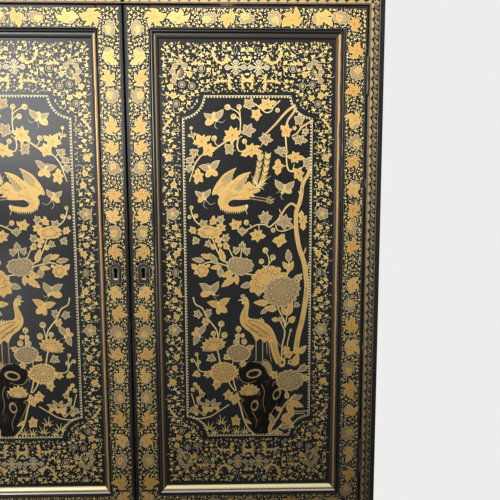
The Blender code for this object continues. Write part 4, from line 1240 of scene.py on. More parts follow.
class PanelScene:
    """Birds, flowers and a rock on a door panel. Places are pixels of the photograph."""

    RIM = 0.40
    FINE = 0.42
    GRID = 24  # steps along a hatched wing's edges
    TRUNK = (
        (309.8, 167.6), (307.8, 174), (303.7, 181), (301.7, 187), (301, 194), (299, 203), (296.8, 208.5),
        (295.6, 214), (295.6, 226), (296.6, 236.5), (299, 249), (303.2, 261.5), (305.2, 274), (306.3, 286),
        (305.2, 299), (301.7, 320), (298, 333.6), (296, 346), (295.4, 354),
    )
    BRANCHES = (
        (((295, 105), (288, 110), (282, 116), (274.6, 124.6), (264, 135)), 2.6, 1.3),
        (((296, 107.5), (292.5, 113.4), (288, 119.5), (286, 126), (285, 138)), 2.0, 1.4),
        (((285, 136), (286, 149), (286.2, 163), (288, 170), (292, 172)), 1.5, 1.1),
        (((312.6, 120.4), (305, 124.6), (300.7, 127.7), (297, 132.8), (291.5, 136.3)), 1.7, 1.0),
        (((236, 139), (229, 140), (224, 142.4), (216, 148), (211, 151.6)), 1.6, 1.4),
        (((211, 151), (204, 154), (199.8, 156.7), (194.7, 164), (192.2, 171.5), (189, 181.6)), 1.5, 0.9),
        (((237.4, 140), (236.8, 147), (239.6, 151.5), (246, 149.6)), 1.3, 1.0),
        (((253.7, 103.7), (259, 107), (265, 112.4), (270.6, 111.3), (273, 107), (279.7, 100.4)), 1.1, 1.0),
        (((239.4, 132), (240, 122), (238, 113), (228, 107)), 1.1, 0.8),
        (((239.6, 117), (239.4, 112), (238.6, 107.8)), 0.8, 0.7),
        (((239.8, 121), (237, 117.6), (233, 116.4)), 0.8, 0.7),
        (
            (
                (297.4, 209), (294.6, 205.6), (291, 203.6), (287.4, 205.6), (283.4, 210.4), (280.4, 216),
                (274.6, 223),
            ),
            2.2, 1.2,
        ),
        (((281.4, 214), (279.6, 211.4), (279, 209)), 0.9, 0.5),
        (((274.6, 222.6), (269, 227), (264.4, 224.7), (257, 224.7), (251.5, 227), (245, 230.6)), 1.2, 1.0),
        (((275, 224.6), (277, 230), (283, 231), (294.4, 227)), 1.0, 0.8),
        (((190.4, 209), (191.6, 214), (195, 221), (201.6, 226.4), (208, 232)), 1.0, 1.2),
        (((210, 232), (212.6, 240), (217, 251), (222, 259), (229.4, 265)), 1.0, 1.4),
        (((199, 268), (204, 263.6), (211, 262), (219, 263.6), (229, 266.6)), 1.0, 1.2),
        (((233, 258), (229, 250), (225.6, 243), (219.7, 238)), 1.0, 0.8),
        (((240, 262), (240.6, 254), (241.7, 247)), 0.9, 0.8),
        (((243, 272), (247, 274), (251, 274.6), (256, 277)), 1.4, 1.2),
        (((262, 266), (267.6, 266), (268.4, 259), (265, 250.4)), 0.9, 0.7),
        (((268.4, 264), (271, 260.6), (272.4, 257.6)), 0.8, 0.7),
        (((286, 281), (287, 271), (288.4, 262), (288.6, 255)), 1.1, 0.8),
        (((287, 274), (291, 268), (292, 262)), 0.8, 0.7),
        (((276, 304), (279.7, 312.7), (283.4, 320), (284.4, 327)), 1.1, 1.4),
        (((284.4, 330), (283.8, 337), (281.8, 345.4), (281, 358)), 1.5, 1.2),
        (((284.4, 328), (286, 318), (288.6, 309)), 1.0, 0.8),
        (((285, 326), (290.4, 319), (292.6, 316)), 0.9, 0.7),
        (((284, 330), (279, 320.6), (273, 318)), 0.9, 0.6),
        (((286.6, 346), (287.6, 340), (290, 330.6)), 0.9, 0.9),
        (
            ((192.7, 297), (195, 304), (202, 308.5), (206, 316.7), (212, 324.4), (216, 330), (218, 338)),
            1.2, 1.4,
        ),
        (((218, 338), (219.4, 331), (220.6, 325)), 0.8, 0.7),
        (((216, 347), (218.4, 356), (220, 365)), 1.4, 1.3),
        (((238.6, 346), (238.4, 336), (238, 329)), 0.8, 0.7),
        (((238.4, 340), (236, 337), (235.6, 342)), 0.7, 0.7),
        (((222, 372), (210, 372.4), (200, 371), (197, 366), (193, 359)), 1.1, 0.8),
        (((198, 367), (197.6, 361), (196.3, 355)), 0.8, 0.7),
        (((227.4, 380), (230.6, 386), (234.6, 391)), 1.3, 1.0),
        (((232.5, 376), (233.6, 383), (236, 391)), 1.2, 1.0),
        (((236, 393), (237.6, 400), (240, 407), (243, 418), (247, 427), (253.6, 434.4)), 1.4, 1.7),
        (((191, 393.4), (193, 400), (196, 408.4), (204, 416)), 0.8, 0.9),
        (((191.7, 418), (199, 418.6), (209.5, 416.5), (218, 411.5), (228.6, 404.6)), 1.0, 0.9),
        (((209.6, 407.3), (207, 411), (204.6, 415.6)), 0.8, 0.7),
        (((267.5, 434.4), (272, 425), (278, 416), (283, 406.6), (289.5, 399), (295, 394)), 1.9, 1.0),
        (((268.4, 434.4), (275.6, 430), (283, 422), (291, 412)), 1.2, 0.9),
        (((293.4, 411.2), (301, 411.2), (308.4, 410.6)), 0.6, 0.5),
        (((291, 414), (297, 413.4), (304, 413.2)), 0.6, 0.5),
        (((298, 191), (300.4, 196), (301, 201)), 0.9, 1.4),
        (((302, 255), (304.6, 251), (305.2, 247.6)), 1.6, 0.7),
        (((305.4, 272), (307.4, 267), (308, 262.6)), 1.6, 0.7),
    )
    STARS = (
        (
            (232, 135.4),
            ((230.4, 127), (236, 128.4), (225, 131.4), (240, 131.4), (223.6, 140), (231, 143), (238, 139)),
            Tone.GOLD,
        ),
        ((247, 131), ((244, 125), (250.6, 124.4), (254.6, 130), (250, 136.4), (241.6, 133)), Tone.PALE),
        ((208, 150.4), ((203, 146.4), (210, 144), (214.6, 148), (210.6, 156), (203, 154.4)), Tone.GOLD),
        (
            (201, 141.6),
            ((197, 134.6), (203.6, 135.4), (209.4, 136.4), (193.4, 143.4), (198, 147), (206.4, 146)),
            Tone.GOLD,
        ),
        (
            (250.6, 150.6),
            ((241.4, 155), (246, 145.6), (252, 143.8), (258, 146), (261, 151.6), (251, 156.6)), Tone.GOLD,
        ),
        ((229, 149), ((225, 144.4), (232, 144), (226, 153.6), (231.6, 154)), Tone.PALE),
        ((248, 105), ((245, 99.6), (251.6, 99), (255, 104.4), (250, 109), (243.6, 106.4)), Tone.PALE),
        ((256, 114.4), ((252, 110.6), (258.4, 109.6), (261, 115), (256.6, 120.4), (251.4, 117)), Tone.GOLD),
        ((266.6, 104.6), ((258.6, 107.4), (262, 99.6), (268, 99), (275, 102), (271.6, 108)), Tone.GOLD),
        ((285.3, 131), ((281, 126), (287, 124.6), (291, 129.6), (288.4, 136.4), (282.4, 136)), Tone.GOLD),
        ((298.8, 120.2), ((294.4, 117), (299, 114.4), (303.6, 118), (301, 124.6), (295.6, 124)), Tone.PALE),
        (
            (299, 140),
            ((292.6, 138), (297, 135.4), (303, 136), (306.4, 140.6), (300, 144.4), (295, 143.6)), Tone.PALE,
        ),
        ((280.4, 151.4), ((274.4, 150.6), (278, 147), (284, 147.6), (287, 152), (281, 155.6)), Tone.PALE),
        (
            (294.5, 157.6),
            ((287.4, 156.4), (292.6, 152), (298, 153), (303, 158), (297, 162.4), (291.4, 162)), Tone.GOLD,
        ),
        ((277.6, 167), ((277.8, 159.6), (272.4, 168), (283, 165.4), (276.6, 174.4)), Tone.GOLD),
        ((297.8, 173.6), ((293.6, 169), (300, 168), (303, 173), (300.4, 181), (294.6, 178)), Tone.GOLD),
        (
            (306.4, 163), ((303.6, 158.6), (308.6, 157.6), (309.8, 163.6), (308, 170), (303.4, 166)),
            Tone.PALE,
        ),
        ((264.4, 139.6), ((259, 138), (263, 133.6), (269, 135), (271.6, 140), (266, 145)), Tone.PALE),
        (
            (197.3, 176), ((197.4, 169), (202.6, 174.4), (201.8, 181.4), (196, 183.4), (192.6, 176)),
            Tone.GOLD,
        ),
        (
            (235, 225.4),
            ((229.4, 224), (232.6, 219.6), (236.4, 221), (240.4, 221.4), (238, 229), (232, 229)), Tone.GOLD,
        ),
        (
            (256.6, 235.4),
            ((250, 233.6), (254.6, 230), (261, 231), (264.4, 236), (257, 241.4), (251.6, 239.4)), Tone.GOLD,
        ),
        (
            (264.4, 218.6),
            ((258.6, 216), (263, 211.6), (267, 212), (271, 216.4), (266.6, 224), (261, 222.6)), Tone.PALE,
        ),
        (
            (283.8, 222), ((276, 223), (279.6, 215.4), (285.6, 215), (290.6, 219), (292, 226), (284, 229)),
            Tone.PALE,
        ),
        ((302, 220.6), ((301, 211.6), (305.6, 216), (306.4, 222), (302.8, 229.4), (298.6, 222)), Tone.GOLD),
        ((242, 231.4), ((237.6, 231), (241, 227.6), (246.4, 231), (241.6, 235.4)), Tone.PALE),
        ((279.7, 240.2), ((283.4, 234.6), (272.6, 241), (285.6, 241.4), (278, 246.6)), Tone.GOLD),
        (
            (199, 270.4),
            ((191.6, 264.6), (199, 266), (206.4, 266.4), (204, 273.6), (199.6, 276.4), (194, 273.6)),
            Tone.GOLD,
        ),
        (
            (235.6, 420.6), ((231.4, 418), (236, 415.4), (239.4, 419), (238.4, 425), (232.6, 424.6)),
            Tone.GOLD,
        ),
        ((228.4, 395), ((223.4, 394.6), (228, 390), (232, 393), (230, 400.4), (225, 399)), Tone.GOLD),
        ((235.4, 398), ((231.6, 396), (237, 393), (239.6, 398.6), (233, 404)), Tone.GOLD),
    )
    IVIES = (
        (194, 152, 5.2, 100, Tone.PALE), (189.6, 160, 4.6, 80, Tone.PALE), (188.8, 168, 4.4, 95, Tone.PALE),
        (202, 224.4, 4.4, -40, Tone.PALE), (202.4, 233.4, 4.6, 170, Tone.GOLD),
        (210.4, 231.4, 5.0, 100, Tone.GOLD), (215.7, 234, 4.6, 60, Tone.GOLD),
        (193, 230.4, 4.4, 180, Tone.GOLD), (212.6, 222, 4.6, -90, Tone.GOLD),
        (220, 227.6, 5.0, -20, Tone.GOLD), (219.6, 220, 4.4, -60, Tone.PALE),
        (195.8, 240, 4.4, 120, Tone.PALE), (225, 238.4, 4.4, -60, Tone.PALE),
        (208.4, 243.6, 4.0, 160, Tone.PALE), (225.2, 246, 3.8, 0, Tone.GOLD),
        (206.6, 228, 4.0, 200, Tone.AMBER), (241.7, 246.6, 4.4, -90, Tone.PALE),
        (236, 251, 4.0, -130, Tone.PALE), (246, 251.6, 4.0, -40, Tone.PALE),
        (198.3, 314, 4.8, 150, Tone.PALE), (207.6, 313, 4.2, -50, Tone.PALE),
        (205.4, 321.4, 4.4, 120, Tone.GOLD), (211.6, 358, 4.6, 160, Tone.PALE),
        (226.4, 357.6, 3.8, -70, Tone.GOLD), (196.8, 373.6, 4.2, 160, Tone.GOLD),
        (207.8, 374, 4.2, 170, Tone.GOLD), (216.6, 384, 4.8, 110, Tone.GOLD),
        (295.8, 304.6, 3.0, 10, Tone.PALE), (303.6, 378, 4.4, 0, Tone.GOLD),
        (274.4, 374.8, 4.4, 180, Tone.GOLD), (297.6, 278, 4.6, -40, Tone.GOLD),
        (288.6, 354.6, 5.0, 200, Tone.GOLD), (302.8, 368, 4.2, -20, Tone.PALE),
        (290.2, 361.6, 3.2, 90, Tone.PALE), (201, 394.4, 3.2, -10, Tone.PALE),
        (192.6, 409.6, 3.4, 150, Tone.PALE), (242.6, 363.4, 3.6, 120, Tone.GOLD),
        (249, 347.6, 3.6, -20, Tone.GOLD), (305, 131, 3.6, 90, Tone.PALE),
    )
    BLADES = (
        ((223.6, 262), (219.4, 248.6), 6.0, Tone.GOLD), ((216.6, 263.6), (208.6, 253.6), 6.2, Tone.PALE),
        ((203.6, 261), (192, 259), 5.0, Tone.PALE), ((220, 268), (219.6, 277), 6.2, Tone.PALE),
        ((210, 258), (200.8, 254.6), 4.6, Tone.GOLD), ((221, 266.4), (210.4, 268), 4.6, Tone.GOLD),
        ((233, 272), (221.6, 276.6), 6.4, Tone.GOLD), ((234, 277.4), (221.4, 286.6), 6.6, Tone.GOLD),
        ((235.6, 275), (236.6, 284.4), 5.0, Tone.GOLD), ((250.6, 284), (240.4, 286.8), 6.0, Tone.PALE),
        ((259, 287), (257.8, 296), 6.0, Tone.PALE), ((288.6, 262), (287.6, 249.6), 6.4, Tone.PALE),
        ((287.6, 269), (282.4, 262), 4.8, Tone.GOLD), ((288.4, 271), (292.6, 261.4), 5.0, Tone.GOLD),
        ((286, 276), (280.6, 273), 4.6, Tone.GOLD), ((268, 303), (253.6, 302.6), 6.2, Tone.GOLD),
        ((276.4, 309.4), (264.4, 307.6), 6.2, Tone.GOLD), ((266.6, 309), (260.4, 313.6), 3.8, Tone.PALE),
        ((285.6, 315), (281.4, 306.6), 5.0, Tone.GOLD), ((287.6, 315.4), (291.6, 301), 6.2, Tone.GOLD),
        ((288.6, 322), (294.6, 317), 5.6, Tone.GOLD), ((277.6, 319.6), (271.4, 319.4), 4.4, Tone.GOLD),
        ((282.6, 322), (278.6, 317.4), 3.6, Tone.PALE), ((288, 352), (283.6, 346.6), 6.4, Tone.GOLD),
        ((293, 366), (297.6, 354), 7.0, Tone.GOLD), ((297.6, 353.6), (305.6, 346), 5.6, Tone.GOLD),
        ((296.6, 371), (307.6, 366), 4.2, Tone.PALE), ((290.6, 400), (302, 395.4), 5.6, Tone.PALE),
        ((288, 401), (302.6, 406.6), 6.6, Tone.GOLD), ((287.4, 403), (292.6, 416), 6.8, Tone.GOLD),
        ((280.6, 420), (293.4, 412.4), 7.0, Tone.GOLD), ((284.6, 419), (293.4, 427.6), 6.4, Tone.GOLD),
        ((279.4, 427.6), (291, 425), 4.8, Tone.PALE), ((271.4, 431.6), (282, 432.4), 4.2, Tone.GOLD),
        ((273.6, 425), (269.6, 413.6), 5.2, Tone.PALE), ((281, 410), (275, 407.6), 4.0, Tone.GOLD),
        ((286.6, 398.6), (286, 391.4), 4.6, Tone.GOLD), ((268.6, 433), (271, 421), 3.4, Tone.GOLD),
        ((242.6, 419), (251, 423.6), 3.0, Tone.GOLD), ((200.4, 404.6), (196.6, 399.6), 3.2, Tone.PALE),
        ((209, 405), (205.6, 399.6), 3.4, Tone.PALE), ((211, 404.6), (214.6, 399), 3.4, Tone.PALE),
        ((212, 406.6), (220.4, 403), 3.4, Tone.PALE), ((208, 407), (200.4, 403), 3.2, Tone.PALE),
    )
    BUDS = (
        (227, 107.2, 3.3, Tone.PALE), (238.6, 107, 2.9, Tone.PALE), (233, 116.6, 3.1, Tone.PALE),
        (213.6, 138.2, 3.0, Tone.PALE), (190.7, 128, 1.9, Tone.GOLD), (189, 135.6, 1.8, Tone.PALE),
        (194, 134.3, 1.8, Tone.PALE), (244, 141.4, 2.8, Tone.PALE), (277, 110.2, 2.6, Tone.PALE),
        (294, 128, 2.3, Tone.PALE), (191, 207.6, 2.2, Tone.PALE), (189, 217, 2.2, Tone.PALE),
        (195.4, 216, 2.6, Tone.PALE), (245.8, 222.4, 2.9, Tone.PALE), (272.6, 230.2, 2.6, Tone.PALE),
        (208, 265.6, 2.0, Tone.GOLD), (265, 250.4, 3.2, Tone.PALE), (272.4, 257.4, 3.2, Tone.PALE),
        (261, 261.4, 2.9, Tone.PALE), (220.8, 323.8, 3.4, Tone.PALE), (213, 333.6, 3.0, Tone.PALE),
        (224, 335, 3.4, Tone.PALE), (238, 329, 3.2, Tone.PALE), (235.4, 342, 3.0, Tone.PALE),
        (243.8, 341.6, 3.2, Tone.PALE), (196.3, 354.4, 2.2, Tone.PALE), (192, 360.4, 2.3, Tone.PALE),
        (198.4, 362.2, 2.4, Tone.PALE), (192.4, 389.6, 2.4, Tone.PALE), (197.4, 387.6, 2.4, Tone.PALE),
        (290.4, 330, 1.4, Tone.PALE), (219, 240, 2.6, Tone.AMBER), (279, 319.6, 1.9, Tone.PALE),
        (276, 319.4, 1.6, Tone.AMBER),
    )
    BERRIES = (
        (216.7, 240.4, 2.2), (219.4, 245, 2.2), (212.8, 247, 2.4), (198, 398.4, 1.8), (196, 413.4, 1.8),
        (196, 406.6, 1.5), (203.4, 407.4, 1.8), (204, 411.6, 1.8), (217, 408.6, 1.8), (210, 409.4, 2.2),
        (213, 407, 1.9), (207, 409, 1.8), (237, 336, 2.2), (242, 335.6, 2.0), (194.6, 384.4, 1.8),
        (200, 391, 1.6),
    )
    BUTTERFLIES = (
        (
            (213.4, 118.6), ((203.7, 113.4), (222.6, 109.8)), ((213.6, 113.4), (206.8, 123.2)),
            ((224.8, 119.6), (217, 129)), Tone.PALE,
        ),
        (
            (210.5, 170), ((198.6, 166.4), (219, 160.6)), ((207, 175.6), (215.4, 174.4)),
            ((205.6, 163.6), (208, 163)), Tone.PALE,
        ),
        (
            (203, 197), ((195, 191.2), (209.8, 189.4)), ((203.2, 193), (199, 201)),
            ((214.6, 203), (206.5, 208.6)), Tone.PALE,
        ),
        (
            (283.8, 189.6), ((274.8, 180), (293.6, 181.4)), ((284.3, 185.4), (289.6, 191.6)),
            ((276, 193.6), (283, 199.8)), Tone.PALE,
        ),
        (
            (209.6, 292.4), ((199.2, 283.6), (218, 281.6)), ((210, 287), (202.2, 294.6)),
            ((219, 294.4), (216, 298)), Tone.PALE,
        ),
        (
            (218.8, 306.6), ((207, 302.4), (229.2, 298.4)), ((224.8, 310.8), (218, 312.6)),
            ((214.6, 300), (219.6, 299.4)), Tone.AMBER,
        ),
        (
            (197, 333.4), ((205.2, 325.2), (193.4, 345)), ((192.4, 333.8), (196.2, 328.4)),
            ((203, 337), (201, 341)), Tone.PALE,
        ),
    )
    BLOSSOMS = (
        (
            (
                (227, 266), (229.4, 259.6), (236, 257.6), (243, 258.4), (250, 260.4), (252.4, 266),
                (248.6, 272), (240.6, 275), (231.6, 273),
            ),
            (239, 266.6), Tone.PALE, 13, (0.70, 0.40),
        ),
        (
            (
                (250, 287), (251, 279), (256, 272), (264, 268), (272, 266.6), (280, 269.6), (279.4, 278),
                (273, 285), (266, 290.4), (258, 293), (252, 292),
            ),
            (264.6, 279.6), Tone.GOLD, 12, (0.62,),
        ),
        (
            (
                (264, 294), (265.6, 286), (271, 280.4), (280, 277), (289, 278), (297, 281.4), (299, 288.6),
                (296, 297), (291, 303), (282, 306.6), (272.6, 305), (266, 300.6),
            ),
            (281.5, 291.6), Tone.PALE, 17, (0.74, 0.46),
        ),
        (
            (
                (276, 381), (279.4, 374), (287, 370.6), (295, 371), (301.6, 375), (302.6, 381.6),
                (297, 388), (288, 390.4), (279.6, 388),
            ),
            (288.6, 380.6), Tone.PALE, 13, (0.70, 0.42),
        ),
        (
            (
                (227, 353), (229.6, 347.6), (236, 345), (243, 346), (248.6, 350), (249.6, 355),
                (245, 359.6), (238, 361.4), (230.6, 359),
            ),
            (238.2, 352.6), Tone.PALE, 22, (0.78, 0.52, 0.28),
        ),
        (
            (
                (210.6, 372.6), (213, 366), (220, 363), (228.6, 363.6), (235.6, 368), (236.6, 374),
                (231, 379.6), (222.6, 382), (214, 379.6),
            ),
            (222.6, 372), Tone.GOLD, 20, (0.78, 0.52, 0.28),
        ),
        (
            (
                (198, 232), (201, 227.6), (208, 226.4), (215, 227.6), (220, 231), (218, 236.6), (210, 238),
                (202, 236.6),
            ),
            (209, 232), Tone.GOLD, 9, (0.6,),
        ),
        (
            ((195, 270), (197, 265.4), (203, 265), (207.6, 269), (206, 275), (199.6, 276.4)), (201, 270.4),
            Tone.GOLD, 7, (0.55,),
        ),
    )
    HALF_BLOSSOMS = (
        (
            (
                (201.4, 349.4), (203, 343), (208, 338.6), (215, 337), (221, 338.4), (224.6, 343),
                (222, 348), (214, 350.6), (206, 351),
            ),
            (213.6, 350), Tone.GOLD, 14, (0.62,),
        ),
        (
            (
                (239.6, 393.6), (241.6, 387.4), (247, 384.6), (253.6, 385.4), (258.4, 390), (254, 394.4),
                (246, 395),
            ),
            (249, 394.6), Tone.GOLD, 12, (0.6,),
        ),
    )
    TWIGS = (
        ((190.7, 130.7), (192.1, 137), (194.7, 141.9)), ((188.9, 135.2), (192, 137.4)),
        ((194.3, 135.2), (192.5, 138.8)), ((195.2, 152.1), (198.8, 156.6)),
        ((189.8, 161.1), (194.3, 163.3)), ((213.9, 140.5), (215.7, 144.6), (218.4, 145.9)),
        ((229.1, 149.5), (234.9, 150.5)), ((244.3, 141.4), (245.9, 145.9)),
        ((241.6, 136.1), (237.1, 138.8)), ((246.1, 148.6), (258.6, 147.2), (261.7, 143.7), (265.3, 134.3)),
        ((281.8, 156.6), (286.3, 155.7)), ((282.7, 166.4), (286.3, 165.5)),
        ((286.7, 165.5), (288.9, 170.4), (292.1, 170), (293.8, 163.8)), ((292.1, 170.4), (295.2, 174.9)),
        ((298.8, 170), (305, 164.6)), ((298.8, 125.4), (301, 127.6)), ((305.9, 125.8), (305.4, 129.4)),
        ((258.6, 225.4), (258.6, 232.5)), ((248.8, 224.5), (251.9, 227.1)), ((232.6, 361.4), (231.6, 366)),
        ((232, 371), (238, 372), (242, 369)), ((205, 232), (199.6, 229), (196, 231)),
    )
    GRASS = (
        (209, 431, 8), (220.7, 425, 7), (225.6, 433, 7.4), (236.4, 434, 6), (244.7, 434, 6.4),
        (214, 434.6, 5),
    )

    # Rows of fine plumage lines: the first line, how far its points move each time, lines, layer, width.
    FLYING_ROWS = (
        (((216, 190.6), (218, 188)), ((2.2, -2.4), (2.2, -2.2)), 5, 8, 1.1),
        (((225.4, 193.6), (228, 191)), ((2.4, -2.8), (2.2, -2.6)), 5, 11, 1.1),
        (((222, 203.4), (225, 204), (227.4, 202)), ((1, -2.4), (1, -2.2), (0.8, -2)), 6, 14, 0.9),
        (((229, 197.6), (231.6, 195.6), (235, 195.6)), ((3.2, -0.6), (3.2, -0.7), (3, -0.9)), 6, 14, 0.9),
        (((246, 189.6), (248.6, 190.6), (250.6, 188.8)), ((2, -0.4), (2, -0.5), (2, -0.3)), 4, 14, 0.9),
    )
    STANDING_ROWS = (
        (((247.6, 321.4), (250.6, 324.2), (255.4, 324)), ((2.5, 1.5), (2.5, 1.5), (2.3, 1.6)), 8, 7, 1.2),
        (((244, 322.4), (247, 326), (251.6, 326.8)), ((2.4, 1.9), (2.4, 1.8), (2.4, 1.8)), 7, 7, 1.2),
        (
            ((243.4, 305.6), (245.2, 307), (247.2, 305.4)), ((-0.4, 2.8), (-0.4, 2.8), (-0.2, 2.6)), 5, 7,
            1.0,
        ),
        (((258, 333.6), (259.4, 336.8)), ((2.6, 0.7), (2.6, 0.5)), 6, 7, 1.2),
    )

    def __init__(self, view: PhotoView, depth: float) -> None:
        """Open a sheet over the panel.

        Args:
            view: the photograph's view.
            depth: the Y of the panel's face.
        """
        self.sheet = Relief(lambda pixels: view.on_plane(pixels, depth), self.RIM)
        self.brush = Brush(self.sheet, self.FINE, seed=3)

    def draw(self) -> Drawing:
        """Draw the whole scene and return its meshes by tone."""
        self.draw_tree()
        self.draw_rock()
        self.draw_plants()
        self.draw_flying_bird()
        self.draw_standing_bird()
        return self.sheet.meshes("panel_scene")

    def draw_tree(self) -> None:
        """Draw the old tree and every branch and stalk."""
        for points, width, end in self.BRANCHES:
            thin = 0.76 if width < 1.6 else 0.9
            self.brush.branch(points, width * thin, end * thin, Tone.BRIGHT if thin < 0.8 else Tone.GOLD)
        for points in self.TWIGS:
            self.sheet.stroke(Tone.BRIGHT, spline(points, steps=3), 0.95, 0.75)
        self.brush.branch(self.TRUNK, 3.0, 5.0, layer=2)
        for x, y in ((302, 190), (298, 230), (305.6, 290), (305, 296), (301, 322), (297, 344)):
            self.brush.line([(x - 0.6, y - 2.6), (x + 0.3, y), (x - 0.4, y + 2.6)], layer=5, width=2.2)

    def draw_plants(self) -> None:
        """Draw leaves, flowers, buds and butterflies."""
        for centre, tips, tone in self.STARS:
            self.brush.star(centre, tips, tone)
        for x, y, size, heading, tone in self.IVIES:
            self.brush.ivy((x, y), size, heading, tone)
        for base, tip, width, tone in self.BLADES:
            self.brush.blade(base, tip, width, tone)
        for x, y, size, tone in self.BUDS:
            self.brush.bud((x, y), size, tone)
        for x, y, size in self.BERRIES:
            self.brush.berry((x, y), size)
        for body, tips, lobes, feelers, tone in self.BUTTERFLIES:
            self.brush.butterfly(body, tips, lobes, feelers, tone)
        for k, (outline, heart, tone, bumps, rings) in enumerate(self.BLOSSOMS):
            self.brush.blossom(outline, heart, tone, bumps, rings, 3 + 6 * (k % 3))
        for outline, heart, tone, bumps, rings in self.HALF_BLOSSOMS:
            self.brush.blossom(outline, heart, tone, bumps, rings, pointed=True)
        for x, y, size in self.GRASS:
            self.brush.tuft((x, y), size)

    def barring(self, lines: Iterable[Points], layer: int, width: float = 1.1) -> None:
        """Draw the fine lines of a bird's plumage."""
        for line in lines:
            self.brush.line(spline(list(line), steps=2), layer=layer, width=width * 1.6)

    def plumage(self, first: Points, move: Points, count: int, layer: int, width: float) -> None:
        """Draw a row of a bird's fine lines.

        Args:
            first: the first line.
            move: how far each of its points moves from one line to the next.
            count: how many lines there are.
            layer: how far up they lie.
            width: their width.
        """
        rows = [[(x + dx * k, y + dy * k) for (x, y), (dx, dy) in zip(first, move)] for k in range(count)]
        self.barring(rows, layer, width)

    def hatch(self, lead: Points, trail: Points, across: int, along: int, layer: int) -> None:
        """Fill the space between two edges of a wing with a grid of fine lines.

        Args:
            lead: one edge.
            trail: the other edge.
            across: spaces between the lines from edge to edge.
            along: spaces between the lines that run with the edges.
            layer: how far up it lies.
        """
        first, second = (spline(edge, steps=self.GRID // (len(edge) - 1)) for edge in (lead, trail))
        self.sheet.fill(Tone.PALE, np.vstack([first, second[::-1]]), layer)
        for k in range(1, across):
            step = k * self.GRID // across
            self.brush.line([first[step], second[step]], layer=layer + 2, width=1.2)
        for k in range(1, along):
            self.brush.line((first + (second - first) * k / along)[::6], Tone.BRIGHT, layer + 3, 1.3)

    def draw_flying_bird(self) -> None:
        """Draw the phoenix in flight."""
        sheet, brush = self.sheet, self.brush
        brush.plume([(253, 187), (254.4, 182), (257.4, 172), (259.9, 156.4)], 4.4, Tone.PALE, 2.1)
        brush.plume([(256, 190), (260.6, 184), (264.6, 172), (267.2, 156)], 4.8, Tone.GOLD, 2.1, layer=3)
        spikes = (
            (250.8, 175.6), (253, 177), (256.4, 169), (270.2, 176), (266.6, 183.2), (263.4, 189.6),
            (251.8, 179.8),
        )
        for end in spikes:
            sheet.stroke(Tone.CREAM, spline([(254, 190), (256.6, 186), end], steps=3), 1.3, 0.45, 5)
        far_lead = spline(
            [
                (219, 196), (216, 193.8), (212, 194.6), (213.4, 189), (217.6, 181.8), (224.6, 173.8),
                (235.8, 167.8)
            ]
        )
        far_trail = [
            (233.8, 170.6), (233, 173), (232, 174.4), (232.2, 177), (231.2, 178.6), (231.6, 181.4),
            (228, 188),
        ]
        sheet.shape(Tone.GOLD, np.vstack([far_lead, far_trail]), 6)
        near_lead = spline(
            [(220.6, 197), (223.8, 191.4), (228.6, 184.8), (234, 179.6), (241, 174.6), (250.6, 172)]
        )
        near_trail = [
            (248, 174.6), (247.6, 177), (246, 178.2), (245.8, 180.8), (244.2, 182), (244.2, 185),
            (242.8, 191), (236, 197.6),
        ]
        sheet.shape(Tone.GOLD, np.vstack([near_lead, near_trail]), 9)
        body = [
            (224, 190), (231, 189), (238, 192), (243, 188), (245.6, 184), (248.8, 182), (252, 185.2),
            (257, 188), (259.4, 190.4), (255.6, 192.8), (252, 193.4), (247, 197.6), (240, 198.6),
            (233, 199.2), (228.8, 201.2), (227.2, 203.8), (228.6, 206.4), (232.6, 207.4), (238, 206.8),
            (243.4, 206.4), (243.4, 210.4), (236, 211), (228, 210.8), (222.4, 209), (218.8, 205.4),
            (218, 200),
        ]
        sheet.shape(Tone.GOLD, spline(body, closed=True, steps=3), 12)
        for k in range(10):
            x, y = 219.6 + k * 2.1, 207.2 + min(k, 3) * 1.15
            sheet.stroke(Tone.BRIGHT, [(x, y), (x + 0.8, y + 1.9), (x + 0.2, y + 3.0)], 1.2, 0.5, 12)
        sheet.shape(Tone.GOLD, ellipse((244.4, 207.6), 2.5, 2.2), 14)
        sheet.stroke(Tone.CREAM, [(244.6, 209.4), (246, 212), (246.8, 214.6)], 1.1, 0.5, 14)
        sheet.shape(Tone.CREAM, ellipse((246.2, 206.2), 1.3, 1.6), 15, 0.2)
        sheet.fill(Tone.PALE, ellipse((241.4, 211.2), 1.5, 1.0), 16)
        sheet.fill(Tone.INK, ellipse((244.2, 207.6), 0.6, 0.6, count=8), 17)
        thighs = (
            ((239, 193.4), (245, 190.8), (250, 193), (253.8, 196.6), (247, 196.4), (241, 196.6)),
            ((234, 199), (240, 196.6), (246, 197), (249, 198.8), (242, 199.4)),
        )
        for thigh in thighs:
            sheet.shape(Tone.GOLD, spline(thigh, closed=True), 15)
        for start, foot in (((252.8, 196.4), (266, 198.8)), ((248.6, 198.6), (265.4, 201.4))):
            knee = ((start[0] + foot[0]) / 2, (start[1] + foot[1]) / 2 - 0.2)
            sheet.stroke(Tone.PALE, [start, knee, foot], 1.0, 0.9, 3)
            for dx, dy in ((3.4, -1.6), (6.8, 0.5), (4.6, 1.8)):
                toe = (foot[0] + dx, foot[1] + dy)
                bent = spline([foot, (foot[0] + dx * 0.5, foot[1] + dy * 0.8), toe], steps=3)
                sheet.stroke(Tone.PALE, bent, 0.9, 0.8, 4)
                sheet.fill(Tone.PALE, ellipse(toe, 1.3, 0.9, count=8), 5)
        self.hatch(
            [(220.4, 181), (226, 174.8), (234.6, 168.9)],
            [(222.4, 187.4), (228.4, 183), (231.6, 178.6), (233, 172.6)], 9, 4, 8
        )
        self.hatch(
            [(232.6, 191), (237, 184), (243, 178), (249.4, 173)],
            [(235.4, 194.6), (240.6, 190.4), (243.8, 184.6), (246.6, 177.6)], 9, 4, 11
        )
        for row in self.FLYING_ROWS:
            self.plumage(*row)

